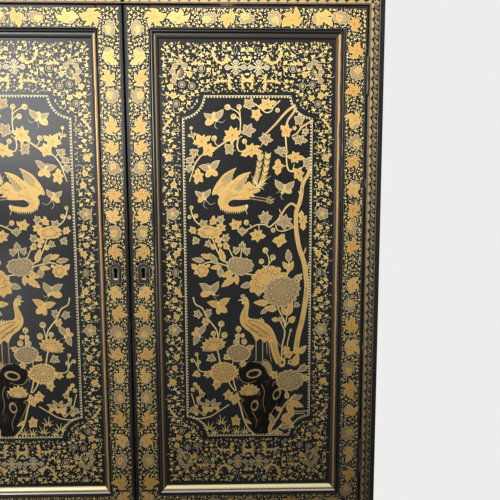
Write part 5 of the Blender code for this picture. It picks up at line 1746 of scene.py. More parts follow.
    def draw_standing_bird(self) -> None:
        """Draw the long-necked bird on the rock."""
        sheet = self.sheet
        for x in (255.5, 262.1):
            sheet.stroke(Tone.PALE, [(x, 338), (x + 0.1, 350), (x, 361)], 1.2, 1.0, 1)
        for line in (
            ((266.2, 342), (266.6, 354.4)), ((268.6, 342), (269.2, 352), (270.8, 361.6)),
            ((274.4, 336), (276.8, 342), (280.4, 346.4))
        ):
            sheet.stroke(Tone.PALE, spline(line, steps=3), 1.2, 0.7, 1)
        tail = [
            (268, 330), (273.4, 334), (276, 341), (277.4, 350), (280, 358), (283.4, 358.2), (284.6, 361.4),
            (283.6, 365.6), (280.4, 366.8), (278.4, 364.4), (275, 361.4), (272.6, 356), (270.8, 349),
            (269, 341),
        ]
        sheet.shape(Tone.GOLD, spline(tail, closed=True, steps=3), 2)
        for k in range(12):
            x, y = 269.9 + 0.62 * k, 342 + 1.9 * k
            fringe = [(x + 0.6, y - 0.6), (x - 0.6, y + 0.8), (x - 1.5, y + 0.7)]
            sheet.stroke(Tone.BRIGHT, fringe, 1.1, 0.5, 2)
            self.barring([[(x + 0.9, y), (x + 2.4, y + 1.2), (x + 4.2, y - 0.4)]], 4)
        sheet.fill(Tone.ROCK, ellipse((281.6, 362.4), 1.3, 1.7, count=10), 4)
        body = [
            (247.4, 311), (247.4, 316.6), (250.6, 319), (256, 319.4), (262, 322), (268, 325.4),
            (272.4, 331), (275, 338), (273, 341.4), (270.6, 339.8), (268.6, 342.4), (266.2, 340),
            (264, 342.2), (261.6, 339.6), (258.6, 338.4), (255.8, 341), (253.8, 337), (250.4, 332.4),
            (245, 328.6), (241, 324), (239.8, 318.6), (241.2, 313), (243.6, 308), (244.2, 303.6),
            (243.4, 301), (245.8, 297.4), (247.8, 301), (248.2, 305),
        ]
        sheet.shape(Tone.GOLD, spline(body, closed=True, steps=3), 5)
        sheet.shape(Tone.GOLD, ellipse((244.6, 300.6), 2.9, 3.2), 7)
        sheet.shape(Tone.PALE, ellipse((242.4, 296.3), 2.0, 1.7), 9)
        sheet.stroke(Tone.CREAM, [(241.6, 299.8), (239.6, 300), (237.4, 300.6)], 1.6, 0.4, 7)
        sheet.fill(Tone.BRIGHT, ellipse((242, 303), 0.9, 1.4), 9)
        sheet.fill(Tone.INK, ellipse((244.2, 299.6), 0.6, 0.6, count=8), 10)
        for x, y in ((259, 319), (261, 318.4), (262.8, 319.6)):
            sheet.stroke(Tone.BRIGHT, [(x + 0.4, y + 2.6), (x, y + 1), (x - 0.4, y - 0.6)], 1.5, 1.0, 7)
        for row in self.STANDING_ROWS:
            self.plumage(*row)
        back = [(247.6, 320.4), (256, 321.6), (264, 326), (270.6, 333)]
        flank = [(249, 329), (254, 331.4), (260, 331.6), (268, 336)]
        self.barring([back, flank], 8, 1.3)

    def draw_rock(self) -> None:
        """Draw the pierced rock: dark, with greyed edges and pale rims to its holes."""
        sheet, brush = self.sheet, self.brush
        outline = [
            (237.4, 379), (236.8, 371), (241, 364.6), (250, 361), (258, 361.6), (265, 359.4),
            (270.4, 364.6), (271.6, 372), (274, 380.4), (280, 381), (284.6, 386), (286, 394), (281, 401.6),
            (276.6, 410), (271.6, 420), (268.4, 434), (256.6, 434), (250, 424), (245.6, 412), (240.6, 402),
            (243, 396), (249, 391), (243, 385),
        ]
        sheet.fill(Tone.ROCK, spline(outline, closed=True, steps=3), 0)
        edges = (
            ((237, 380), (237, 371), (242, 364), (250, 361.4)),
            ((252, 361.6), (260, 362), (265, 359.6), (270.4, 365), (271.6, 375)),
            ((259, 363), (264, 366), (266.4, 372.4), (270, 377)),
            ((238, 376), (241.6, 381.4), (248, 383), (256, 380.6)),
            ((272, 386), (274, 381.4), (279, 381.6), (284, 386.4), (286, 393)),
            ((243, 400), (240.6, 403), (243.4, 410), (248, 418.4)),
            ((256.6, 388), (259.4, 392.4), (258, 396.4)), ((268, 420), (272.6, 410), (277, 403.4)),
            ((246, 396), (252, 393), (257, 395)), ((261, 384), (264, 392), (262.4, 402), (265, 412)),
            ((252, 412), (256, 420), (255, 428)), ((239, 399.6), (242, 398.4), (244, 400.6)),
        )
        for edge in edges:
            brush.line(edge, Tone.PALE, 1, 2.0)
        lip = [(262, 361), (268, 361.6), (271.4, 367), (271.6, 374), (268.6, 375.6), (266, 369), (261.6, 365)]
        sheet.fill(Tone.PALE, spline(lip, closed=True, steps=2), 1)
        holes = (
            ((253.4, 373.6), 8.0, 4.6, -14), ((254.2, 405.4), 3.8, 5.8, 16), ((276.4, 394), 3.8, 6.4, 28),
        )
        for centre, width, height, lean in holes:
            turn, pit = math.radians(lean), (centre[0] - 0.3, centre[1] + 0.2)
            sheet.fill(Tone.PALE, ellipse(centre, width, height, turn, 18), 1)
            sheet.fill(Tone.ROCK, ellipse(pit, width * 0.72, height * 0.62, turn, 16), 3)


# Repeats
class Recipe:
    """A Geometry Nodes tree made in Python and run once on a plain mesh."""

    FLOAT_LOW, FLOAT_HIGH, INT_LOW, INT_HIGH = 2, 3, 4, 5  # inputs of the Random Value node
    FLOAT, INT = 1, 2  # its outputs

    def __init__(self, name: str, **inputs: str) -> None:
        """Start a tree.

        Args:
            name: its name.
            inputs: the kind of socket of each named input.
        """
        self.tree = bpy.data.node_groups.new(name, "GeometryNodeTree")
        face = self.tree.interface
        face.new_socket("Geometry", in_out="OUTPUT", socket_type="NodeSocketGeometry")
        face.new_socket("Geometry", in_out="INPUT", socket_type="NodeSocketGeometry")
        self.keys: dict[str, str] = {}
        for label, kind in inputs.items():
            socket = face.new_socket(label, in_out="INPUT", socket_type=f"NodeSocket{kind}")
            self.keys[label] = socket.identifier
        self.entry = self.tree.nodes.new("NodeGroupInput")
        self.exit = self.tree.nodes.new("NodeGroupOutput")

    def given(self, label: str) -> bpy.types.NodeSocket:
        """A named input of the tree."""
        return self.entry.outputs[label]

    def node(
        self,
        kind: str,
        settings: Optional[dict[str, object]] = None,
        sockets: Optional[dict[Union[int, str], object]] = None,
        output: Union[int, str] = 0,
    ) -> bpy.types.NodeSocket:
        """Add a node and return one of its outputs; a socket given as a value is linked."""
        made = self.tree.nodes.new(kind)
        for label, value in (settings or {}).items():
            setattr(made, label, value)
        for label, value in (sockets or {}).items():
            if isinstance(value, bpy.types.NodeSocket):
                self.tree.links.new(value, made.inputs[label])
            else:
                made.inputs[label].default_value = value
        return made.outputs[output]

    def solid(self, label: str) -> bpy.types.NodeSocket:
        """The geometry of an object that is a named input."""
        return self.node("GeometryNodeObjectInfo", sockets={0: self.given(label)}, output="Geometry")

    def chance(self, low: object, high: object, seed: int) -> bpy.types.NodeSocket:
        """A random number between two."""
        sockets = {self.FLOAT_LOW: low, self.FLOAT_HIGH: high, "Seed": seed}
        return self.node("FunctionNodeRandomValue", sockets=sockets, output=self.FLOAT)

    def spin(self, seed: int) -> bpy.types.NodeSocket:
        """A random turn about Z."""
        euler = self.node("ShaderNodeCombineXYZ", sockets={"Z": self.chance(0.0, math.tau, seed)})
        return self.node("FunctionNodeEulerToRotation", sockets={0: euler})

    def close(self, instances: bpy.types.NodeSocket) -> None:
        """End the tree with real geometry in the finish that it is given."""
        real = self.node("GeometryNodeRealizeInstances", sockets={0: instances})
        painted = self.node("GeometryNodeSetMaterial", sockets={0: real, "Material": self.given("Finish")})
        self.tree.links.new(painted, self.exit.inputs[0])

    def run(self, source: bpy.types.Mesh, **values: object) -> bpy.types.Mesh:
        """Run the tree.

        Args:
            source: what it starts from.
            values: the values of its named inputs.

        Returns:
            The result as a plain mesh.
        """
        holder = placed(source.name, source)
        modifier = holder.modifiers.new(self.tree.name, "NODES")
        modifier.node_group = self.tree
        for label, value in values.items():
            modifier[self.keys[label]] = value
        graph = bpy.context.evaluated_depsgraph_get()
        made = bpy.data.meshes.new_from_object(holder.evaluated_get(graph), depsgraph=graph)
        holder.modifiers.remove(modifier)
        bpy.data.objects.remove(holder)
        return made


def scatter_recipe() -> Recipe:
    """A tree that strews motifs over faces and keeps clear of what is drawn there."""
    inputs = {"Motifs": "Collection", "KeepOut": "Object", "Spacing": "Float", "Clearance": "Float"}
    inputs |= {"Smallest": "Float", "Largest": "Float", "Last": "Int", "Seed": "Int", "Finish": "Material"}
    recipe = Recipe("scatter", **inputs)
    given = {label: recipe.given(label) for label in ("Geometry", *inputs)}
    sockets = {0: given["Geometry"], "Distance Min": given["Spacing"], "Density Max": 4.0e6}
    sockets["Seed"] = given["Seed"]
    points = recipe.node("GeometryNodeDistributePointsOnFaces", {"distribute_method": "POISSON"}, sockets)
    sockets = {0: recipe.solid("KeepOut")}
    gap = recipe.node("GeometryNodeProximity", {"target_element": "FACES"}, sockets, "Distance")
    near = recipe.node("FunctionNodeCompare", {"operation": "LESS_THAN"}, {0: gap, 1: given["Clearance"]})
    kept = recipe.node("GeometryNodeDeleteGeometry", {"domain": "POINT"}, {0: points, 1: near})
    sockets = {0: given["Motifs"], "Separate Children": True, "Reset Children": True}
    motifs = recipe.node("GeometryNodeCollectionInfo", sockets=sockets)
    sockets = {recipe.INT_LOW: 0, recipe.INT_HIGH: given["Last"], "Seed": given["Seed"]}
    pick = recipe.node("FunctionNodeRandomValue", {"data_type": "INT"}, sockets, recipe.INT)
    size = recipe.chance(given["Smallest"], given["Largest"], 5)
    spread = recipe.node("ShaderNodeCombineXYZ", sockets={"X": size, "Y": size, "Z": 1.0})
    sockets = {"Points": kept, "Instance": motifs, "Pick Instance": True, "Instance Index": pick}
    sockets |= {"Rotation": recipe.spin(11), "Scale": spread}
    recipe.close(recipe.node("GeometryNodeInstanceOnPoints", sockets=sockets))
    return recipe


def row_recipe() -> Recipe:
    """A tree that sets one unit after another along lines, turned the way that they run."""
    recipe = Recipe("row", Unit="Object", Spacing="Float", Finish="Material")
    line = recipe.node("GeometryNodeMeshToCurve", sockets={0: recipe.given("Geometry")})
    sockets = {0: line, "Length": recipe.given("Spacing")}
    points = recipe.node("GeometryNodeCurveToPoints", {"mode": "LENGTH"}, sockets)
    tangent = points.node.outputs["Tangent"]
    turn = recipe.node("FunctionNodeAlignRotationToVector", {"axis": "X"}, {"Vector": tangent})
    sockets = {"Points": points, "Instance": recipe.solid("Unit"), "Rotation": turn}
    recipe.close(recipe.node("GeometryNodeInstanceOnPoints", sockets=sockets))
    return recipe


def screw_recipe() -> Recipe:
    """A tree that sets a screw head on each point, facing the way that the point says."""
    recipe = Recipe("screws", Unit="Object", Finish="Material")
    out = recipe.node("GeometryNodeInputNamedAttribute", {"data_type": "FLOAT_VECTOR"}, {0: "outward"})
    face = recipe.node("FunctionNodeAlignRotationToVector", {"axis": "Z"}, {"Vector": out})
    sockets = {0: face, 1: recipe.spin(7)}
    turn = recipe.node("FunctionNodeRotateRotation", {"rotation_space": "LOCAL"}, sockets)
    sockets = {"Points": recipe.given("Geometry"), "Instance": recipe.solid("Unit"), "Rotation": turn}
    recipe.close(recipe.node("GeometryNodeInstanceOnPoints", sockets=sockets))
    return recipe


class Props:
    """Helper objects that trees read, removed once they have run."""

    def __init__(self) -> None:
        """Start with none."""
        self.made: list[bpy.types.Object] = []
        self.groups: list[bpy.types.Collection] = []

    def single(self, mesh: bpy.types.Mesh) -> bpy.types.Object:
        """A mesh as a helper object."""
        self.made.append(placed(mesh.name, mesh))
        return self.made[-1]

    def group(self, meshes: Iterable[bpy.types.Mesh]) -> bpy.types.Collection:
        """Meshes as a collection of helper objects."""
        group = bpy.data.collections.new("motifs")
        for mesh in meshes:
            prop = bpy.data.objects.new(mesh.name, mesh)
            group.objects.link(prop)
            self.made.append(prop)
        bpy.context.scene.collection.children.link(group)
        self.groups.append(group)
        return group

    def clear(self) -> None:
        """Remove them all."""
        for prop in self.made:
            bpy.data.objects.remove(prop)
        for group in self.groups:
            bpy.data.collections.remove(group)
        self.made, self.groups = [], []


def joined(meshes: Iterable[bpy.types.Mesh], name: str) -> bpy.types.Mesh:
    """Several meshes as one."""
    points: list[Vector] = []
    faces: list[tuple[int, ...]] = []
    for mesh in meshes:
        start = len(points)
        points += [vertex.co.copy() for vertex in mesh.vertices]
        faces += [tuple(start + i for i in polygon.vertices) for polygon in mesh.polygons]
    return plain_mesh(name, points, faces=faces)


def rectangles(name: str, spans: Iterable[tuple[float, float, float, float]]) -> bpy.types.Mesh:
    """Flat rectangles, each from its low X, low Y, high X and high Y in metres."""
    points, faces = [], []
    for x0, y0, x1, y1 in spans:
        start = len(points)
        points += [(x0, y0, 0), (x1, y0, 0), (x1, y1, 0), (x0, y1, 0)]
        faces.append((start, start + 1, start + 2, start + 3))
    return plain_mesh(name, points, faces=faces)


def polylines(name: str, lines: Iterable[Points], closed: bool = False) -> bpy.types.Mesh:
    """Lines as loose edges on the flat, in metres."""
    points, edges = [], []
    for line in lines:
        start, count = len(points), len(line)
        points += [(float(x), float(y), 0.0) for x, y in line]
        edges += [(start + i, start + i + 1) for i in range(count - 1)]
        if closed:
            edges.append((start + count - 1, start))
    return plain_mesh(name, points, edges)


@dataclass
class Leaf:
    """The gilder's stock: one material for each tone, the trees, and the small motifs that they strew."""

    props: Props = field(default_factory=Props)
    finishes: dict[Tone, bpy.types.Material] = field(init=False)
    scatter: Recipe = field(default_factory=scatter_recipe)
    row: Recipe = field(default_factory=row_recipe)
    sprigs: list[bpy.types.Mesh] = field(init=False)
    curls: list[bpy.types.Mesh] = field(init=False)
    dots: list[bpy.types.Mesh] = field(init=False)
    pearls: list[bpy.types.Mesh] = field(init=False)

    def __post_init__(self) -> None:
        """Make the materials and the motifs."""
        self.finishes = {tone: finish.material() for tone, finish in GILT_FINISHES.items()}
        self.sprigs = [self.small(f"sprig_{k}", self.draw_sprig, k) for k in range(5)]
        self.curls = [self.small(f"curl_{k}", self.draw_curl, k) for k in range(5)]
        self.dots = [self.small(f"dot_{k}", self.draw_dot, k) for k in range(3)]
        self.pearls = [self.small(f"pearl_{k}", self.draw_pearl, k) for k in range(2)]

    @staticmethod
    def small(name: str, draw: Callable[[Relief, int], None], kind: int) -> bpy.types.Mesh:
        """One small motif as a flat mesh, in millimetres about its middle."""
        sheet = Relief()
        draw(sheet, kind)
        return joined(sheet.meshes(name).values(), name)

    @staticmethod
    def draw_sprig(sheet: Relief, kind: int) -> None:
        """Draw a leaf of two to four lobes on a short stalk."""
        lobes = (3, 2, 4, 3, 2)[kind]
        angles = np.arange(4 * lobes) * math.tau / (4 * lobes)
        reach = 1.62 + (0.78, 0.7, 0.62, 0.9, 0.85)[kind] * np.cos(lobes * angles)
        loop = [polar((0, 0), angle, r) for angle, r in zip(angles, reach)]
        loop.insert(2 * lobes + 1, polar((0, 0), math.pi * (1 + 0.5 / lobes), 2.9))
        sheet.fill(Tone.GOLD, loop)

    @staticmethod
    def draw_curl(sheet: Relief, kind: int) -> None:
        """Draw a comma: a curved stroke with a round end."""
        sweep = (3.4, 2.6, 4.2, 3.0, 2.2)[kind]
        radius = (1.35, 1.7, 1.25, 1.5, 2.2)[kind]
        arc = [polar((0, 0), k * sweep / 4, radius) for k in range(5)]
        sheet.stroke(Tone.GOLD, arc, 0.7, 1.1)
        sheet.fill(Tone.GOLD, ellipse(arc[-1], 0.95, 0.95, count=7))

    @staticmethod
    def draw_dot(sheet: Relief, kind: int) -> None:
        """Draw a dot or a short dash."""
        width = (0.85, 1.25, 0.7)[kind]
        sheet.fill(Tone.GOLD, ellipse((0, 0), width, (0.85, 0.7, 0.7)[kind], count=6))

    @staticmethod
    def draw_pearl(sheet: Relief, kind: int) -> None:
        """Draw a large dot."""
        sheet.fill(Tone.GOLD, ellipse((0, 0), (1.3, 1.5)[kind], (1.3, 1.1)[kind], count=8))

    def strew(
        self,
        ground: bpy.types.Mesh,
        taken: bpy.types.Mesh,
        motifs: Sequence[bpy.types.Mesh],
        tone: Tone,
        spacing: float,
        clearance: float,
        seed: int,
        sizes: tuple[float, float],
    ) -> bpy.types.Mesh:
        """Strew small motifs over a ground.

        Args:
            ground: the flat faces to cover.
            taken: what is drawn there already.
            motifs: the motifs to pick from.
            tone: their tone.
            spacing: the least distance between two, in millimetres.
            clearance: the least distance from what is drawn there, in millimetres.
            seed: fixes where they fall.
            sizes: the smallest and largest scale.

        Returns:
            The motifs as one flat mesh.
        """
        made = self.scatter.run(
            ground,
            Motifs=self.props.group(motifs),
            KeepOut=self.props.single(taken),
            Spacing=spacing * MM,
            Clearance=clearance * MM,
            Smallest=sizes[0],
            Largest=sizes[1],
            Last=len(motifs) - 1,
            Seed=seed,
            Finish=self.finishes[tone],
        )
        self.props.clear()
        return made

    def repeat(self, lines: bpy.types.Mesh, unit: Drawing, spacing: float) -> Drawing:
        """Set a unit along lines at a spacing in millimetres."""
        rows = {}
        for tone, mesh in unit.items():
            prop, finish = self.props.single(mesh), self.finishes[tone]
            rows[tone] = self.row.run(lines, Unit=prop, Spacing=spacing * MM, Finish=finish)
            self.props.clear()
        return rows

    def apply(
        self,
        meshes: Drawing,
        name: str,
        body: str,
        facing: Facing,
        origin: tuple[float, float, float],
        scale: float = 1.0,
    ) -> None:
        """Lay a drawing's meshes on a face, one piece for each tone."""
        for tone, mesh in meshes.items():
            piece = f"{name}_{tone.value}"
            lay(mesh, facing, origin, piece, body, self.finishes[tone], scale)


def merge(*drawings: Drawing) -> Drawing:
    """Several drawings as one mesh for each tone."""
    gathered: dict[Tone, list[bpy.types.Mesh]] = {}
    for drawing in drawings:
        for tone, mesh in drawing.items():
            gathered.setdefault(tone, []).append(mesh)
    return {tone: joined(meshes, f"merged_{tone.value}") for tone, meshes in gathered.items()}


# Doors
@dataclass(frozen=True)
class DoorPlan:
    """Where the right door's edges and faces lie, in metres; the left door mirrors it."""

    meeting: float
    hinge: float
    low: float
    high: float
    open_in: float
    open_out: float
    open_low: float
    open_high: float
    front: float
    panel: float

    @classmethod
    def read(cls) -> "DoorPlan":
        """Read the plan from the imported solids."""
        meeting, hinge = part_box("right_door_meeting_stile"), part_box("right_door_hinge_stile")
        top, bottom, panel = (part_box(f"right_door_{part}") for part in ("top_rail", "bottom_rail", "panel"))
        return cls(
            meeting=meeting[0][0],
            hinge=hinge[1][0],
            low=meeting[0][2],
            high=meeting[1][2],
            open_in=meeting[1][0],
            open_out=hinge[0][0],
            open_low=bottom[1][2],
            open_high=top[0][2],
            front=meeting[0][1],
            panel=panel[0][1],
        )


@dataclass
class Doors:
    """The pair of doors: frame bands, panel border, bead line and scene, the left in mirror image.

    Places of motifs are rows, columns or pixels of the photograph; other lengths are millimetres.
    """

    leaf: Leaf
    view: PhotoView
    plan: DoorPlan
    scene: Drawing = field(init=False)
    border: Drawing = field(init=False)
    mouldings: tuple[tuple[str, Across], ...] = (
        ("left", Across.LEFT), ("right", Across.RIGHT), ("top", Across.TOP), ("bottom", Across.BOTTOM),
    )
    stile_spread: Point = (11.5, 13.6)
    rail_spread: Point = (15.0, 11.5)
    sway: float = 1.8
    cartouche_left: float = 48.6
    cartouche_right: float = 47.8
    cartouche_foot: float = 98.4
    cartouche_head: float = 99.0
    hollow: float = 33.6
    bead_pitch: float = 4.8
    ground_gap: float = 17.4
    large: float = 3.3
    rail_motifs: str = "BLFBFFBLF"
    rail_places: tuple[float, ...] = (154, 178, 209, 227, 246, 274, 292, 321, 341)
    stile_motifs: str = "FLBFBBFBLFBLBFBLFBLFBL"
    stile_places: tuple[float, ...] = (
        29, 57, 78, 96, 126, 148, 168, 195, 216, 233, 252, 292, 312, 332, 354, 376, 396, 418, 440, 460, 481,
        497,
    )
    corner_petals: tuple[tuple[float, float, float], ...] = (
        (179, 61.8, -80), (184, 65.6, -30), (174.3, 66.2, -140), (172, 71.4, 180), (174.6, 76.6, 130),
        (172.8, 80.4, 110),
    )
    medallions: tuple[tuple[float, float, float], ...] = (
        (200.7, 68.5, 4.0), (181.4, 84.5, 3.5), (191.3, 86, 3.7), (175.6, 103.8, 3.7), (175.2, 271.6, 3.2),
    )
    scrolls: tuple[tuple[tuple[Point, ...], float], ...] = (
        (((211.6, 50.6), (213.6, 57), (217.4, 62), (222.6, 63.4)), 1.7),
        (((226.4, 54.4), (226, 58.6), (223.6, 62.4)), 1.7),
        (((190.6, 64.2), (196, 63.2), (201.6, 64.4)), 1.7),
        (((213.2, 83.2), (219, 81.2), (225.4, 81)), 1.6),
        (((227.4, 74), (229, 79), (228.2, 84), (229.4, 88.4)), 1.6),
        (((241.2, 74), (242.6, 79), (241.6, 84), (242.8, 88)), 1.6),
        (((171.6, 118.6), (167.4, 122.6), (163.6, 128.6)), 1.6),
    )
    top_leaves: tuple[tuple[float, float, float], ...] = (
        (166.3, 47.8, 2.6), (178.3, 47, 2.6), (186.3, 51.8, 2.6), (200.6, 47.8, 2.4), (207.8, 47, 2.6),
        (213.4, 49.4, 2.8), (222.9, 46.3, 2.4), (228.5, 49.4, 3.2), (242.9, 50.2, 3.2), (167.9, 51.6, 2.2),
        (171.9, 55, 2.6), (162.7, 59, 2.6), (170.3, 60.6, 3.0), (179.9, 56.6, 3.0), (187.8, 59.8, 2.8),
        (193.4, 51.8, 2.4), (200.6, 55.8, 3.2), (207, 54.2, 2.6), (228.5, 60.6, 2.6), (243.7, 59, 3.2),
        (188.6, 68.6, 2.6), (189.4, 74.2, 3.6), (194.2, 70.2, 2.4), (207.8, 63, 3.2), (208.6, 70.2, 3.2),
        (213.4, 74.2, 2.6), (218.1, 72.6, 2.4), (219.7, 67.8, 2.2), (163.9, 66.2, 2.6), (163.9, 75.8, 2.6),
        (169.5, 86.9, 3.6), (200.6, 75.8, 2.6), (201.4, 82.1, 2.4), (207.8, 81.3, 2.6), (207, 86.9, 2.8),
        (202.2, 90.4, 2.4), (166.3, 94.1, 2.8), (171.9, 95.7, 4.0), (181.5, 98.1, 3.4), (169.5, 102.9, 2.6),
        (195.8, 92, 2.6), (191.8, 94.9, 2.6), (187.8, 103.2, 3.0), (179.9, 110.2, 2.8), (167.9, 107.7, 2.6),
        (247.7, 80.5, 2.6), (184.6, 92.4, 2.4),
    )
    side_leaves: tuple[tuple[float, float, float], ...] = (
        (167.5, 115.7, 3.2), (172.9, 114, 2.6), (167, 131.7, 2.6), (173, 133.3, 2.8), (163.7, 137.5, 2.2),
        (170, 140.3, 3.2), (174, 147, 2.8), (170, 151, 2.8), (169, 157.5, 4.2), (164.5, 155, 2.4),
        (166.8, 168.5, 2.6), (170.6, 174, 3.4), (166.4, 180, 2.4), (173, 184.5, 3.8), (164.5, 188.3, 2.4),
        (167.8, 193, 2.8), (176.7, 193.7, 2.8), (169.8, 199.8, 2.8), (165, 203.6, 2.4), (176.7, 204.4, 2.6),
        (174.5, 228, 3.8), (166.4, 227.5, 2.6), (171.5, 237, 2.6), (177, 236, 3.2), (166, 241.5, 2.8),
        (173.5, 244.5, 3.4), (179, 249.5, 2.6), (176.5, 253.5, 3.8), (168, 257.5, 3.2), (173, 262, 2.8),
        (168.4, 266, 3.0),
    )

    def build(self) -> None:
        """Dress both doors."""
        self.finish_solids()
        self.scene = PanelScene(self.view, self.plan.panel).draw()
        self.border = self.draw_border()
        self.dress(self.scene, "scene", self.plan.panel)
        self.dress(self.border, "border", self.plan.panel)
        self.dress(self.draw_frame(), "frame", self.plan.front)

    def dress(self, drawing: Drawing, name: str, depth: float) -> None:
        """Lay a drawing on both doors."""
        for side, facing in FRONTS:
            self.leaf.apply(drawing, f"{side}_door_{name}", f"{side}_door", facing, (0, depth, 0))

    def finish_solids(self) -> None:
        """Give the doors' own solids their finishes."""
        for side, _ in FRONTS:
            for part in ("meeting_stile", "hinge_stile", "top_rail", "bottom_rail", "panel"):
                paint(f"{side}_door_{part}", LACQUER.material(f"{side}_door_{part}"))
            for part, across in self.mouldings:
                node = f"{side}_door_{part}_moulding"
                paint(node, MOULDING.material(node, across))

    def height(self, row: float) -> float:
        """The height on the door's face that a row of the photograph shows, in millimetres."""
        return float(self.view.on_plane(np.array([[250.0, row]]), self.plan.front)[0][1]) / MM

    def across(self, column: float, row: float) -> float:
        """The place across the door's face that a pixel shows, in millimetres from the cabinet's middle."""
        return float(self.view.on_plane(np.array([[column, row]]), self.plan.front)[0][0]) / MM

    def draw_frame(self) -> Drawing:
        """Draw the bands on stiles and rails: large motifs, a dense filling and thin edge lines."""
        plan = self.plan
        sheet = Relief(rim=0.45)
        brush = Brush(sheet, 0.55, seed=11)
        left, right = plan.meeting / MM + 4.9, plan.hinge / MM - 3.6
        inner, outer = plan.open_in / MM - 1.3, plan.open_out / MM + 4.4
        low, high = plan.low / MM + 3.6, plan.high / MM - 3.6
        under, over = plan.open_low / MM - 3.8, plan.open_high / MM + 1.6
        for k, (letter, row) in enumerate(zip(self.stile_motifs, self.stile_places)):
            sway = (k % 3 - 1) * self.sway
            near, far = (left + inner) / 2 + sway, (outer + right) / 2 + sway
            other = self.stile_motifs[(k + 4) % len(self.stile_motifs)]
            self.draw_motif(brush, (near, self.height(row)), letter, self.stile_spread)
            self.draw_motif(brush, (far, self.height(row - 6)), other, self.stile_spread)
        for letter, column in zip(self.rail_motifs, self.rail_places):
            x = self.across(column, 18)
            self.draw_motif(brush, (x, (over + high) / 2), letter, self.rail_spread)
            self.draw_motif(brush, (x, (low + under) / 2), letter, self.rail_spread)
        lines = []
        for x0, y0, x1, y1 in ((left, low, right, high), (inner, under, outer, over)):
            lines += [[(x, y0), (x, y1)] for x in (x0, x1)] + [[(x0, y), (x1, y)] for y in (y0, y1)]
        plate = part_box("right_escutcheon")
        middle, foot, head = (plate[0][0] + plate[1][0]) / 2 / MM, plate[0][2] / MM, plate[1][2] / MM
        ring = [polar((middle, head - 8.0), math.radians(angle), 9.8) for angle in range(-20, 201, 20)]
        ring += [(middle - 8.4, foot - 1.6), (middle + 8.4, foot - 1.6), ring[0]]
        sheet.stroke(Tone.PALE, ring, 0.9)
        drawn = sheet.meshes("frame")
        thin = Relief()
        for line in lines:
            thin.stroke(Tone.PALE, line, 0.4)
        inset = 1.9
        a, b, c, d = left + inset, inner - inset, outer + inset, right - inset
        bands = (
            (a, low + inset, b, high - inset), (c, low + inset, d, high - inset),
            (b, low + inset, c, under - inset), (b, over + inset, c, high - inset),
        )
        ground = [tuple(edge * MM for edge in band) for band in bands]
        guard = rectangles(
            "guard", [(plate[0][0] - MM, plate[0][2] - MM, plate[1][0] + MM, plate[1][2] + MM)]
        )
        filled = self.fill_ground(drawn, rectangles("bands", ground), guard, 21, (5.9, 3.9, 4.0, 2.4), 1.22)
        return merge(filled, thin.meshes("edge"))

    def fill_ground(
        self,
        drawn: Drawing,
        ground: bpy.types.Mesh,
        guard: bpy.types.Mesh,
        seed: int,
        spacing: tuple[float, float, float, float],
        size: float,
    ) -> Drawing:
        """Strew small leaves, curls and dots between the motifs of a drawing.

        Args:
            drawn: the drawing.
            ground: where it may spread.
            guard: what else it keeps clear of.
            seed: fixes the filling.
            spacing: the least distance between two leaves, pearls, curls and dots, in millimetres.
            size: how large the leaves and curls are.

        Returns:
            The drawing with its filling.
        """
        taken = joined([*drawn.values(), guard], "taken")
        sizes = (0.85 * size, 1.12 * size)
        strewn: dict[Tone, list[bpy.types.Mesh]] = {Tone.BRIGHT: [], Tone.CREAM: []}
        passes = (
            (self.leaf.sprigs, Tone.BRIGHT, 1.9 * size, sizes),
            (self.leaf.pearls, Tone.CREAM, 1.55, (0.85, 1.1)),
            (self.leaf.curls, Tone.BRIGHT, 1.5 * size, sizes),
            (self.leaf.dots, Tone.CREAM, 1.1, (0.85, 1.15)),
        )
        for k, (motifs, tone, clearance, scales) in enumerate(passes):
            made = self.leaf.strew(ground, taken, motifs, tone, spacing[k], clearance, seed + k, scales)
            taken = joined([taken, made], "taken")
            strewn[tone].append(made)
        return merge(drawn, {tone: joined(meshes, "filling") for tone, meshes in strewn.items()})

    @staticmethod
    def draw_motif(brush: Brush, centre: Point, letter: str, spread: Point) -> None:
        """Draw one large motif of a band.

        Args:
            brush: what draws it.
            centre: its middle.
            letter: B for a flame leaf, F for a fluted flower, L for a leaf before half a fluted flower.
            spread: its half width and half height.
        """
        wide, high = (side * brush.random.uniform(0.9, 1.1) for side in spread)
        heading = brush.random.choice((45, 135, 225, 315)) + brush.random.uniform(-40, 40)
        turn = math.radians(heading)
        if letter == "B":
            brush.flame(centre, (wide, high), heading, brush.random.choice((4, 5, 5)), Tone.AMBER)
            return
        if letter == "L":
            brush.shell(polar(centre, turn, -2.0), (wide * 0.8, high * 0.8), heading + 150)
            brush.flame(polar(centre, turn, 1.5), (wide * 0.95, high * 0.95), heading, 4, Tone.GOLD, 5)
            return
        angles = np.arange(9) * math.tau / 9
        ring = [oval(centre, (wide, high), angle, brush.random.uniform(0.72, 1.04)) for angle in angles]
        brush.blossom(ring, centre, Tone.PALE, 9, (0.62,), pointed=True)
        brush.flame(polar(centre, turn, wide * 0.26), (wide * 0.42, high * 0.42), heading, 4, Tone.GOLD, 8)

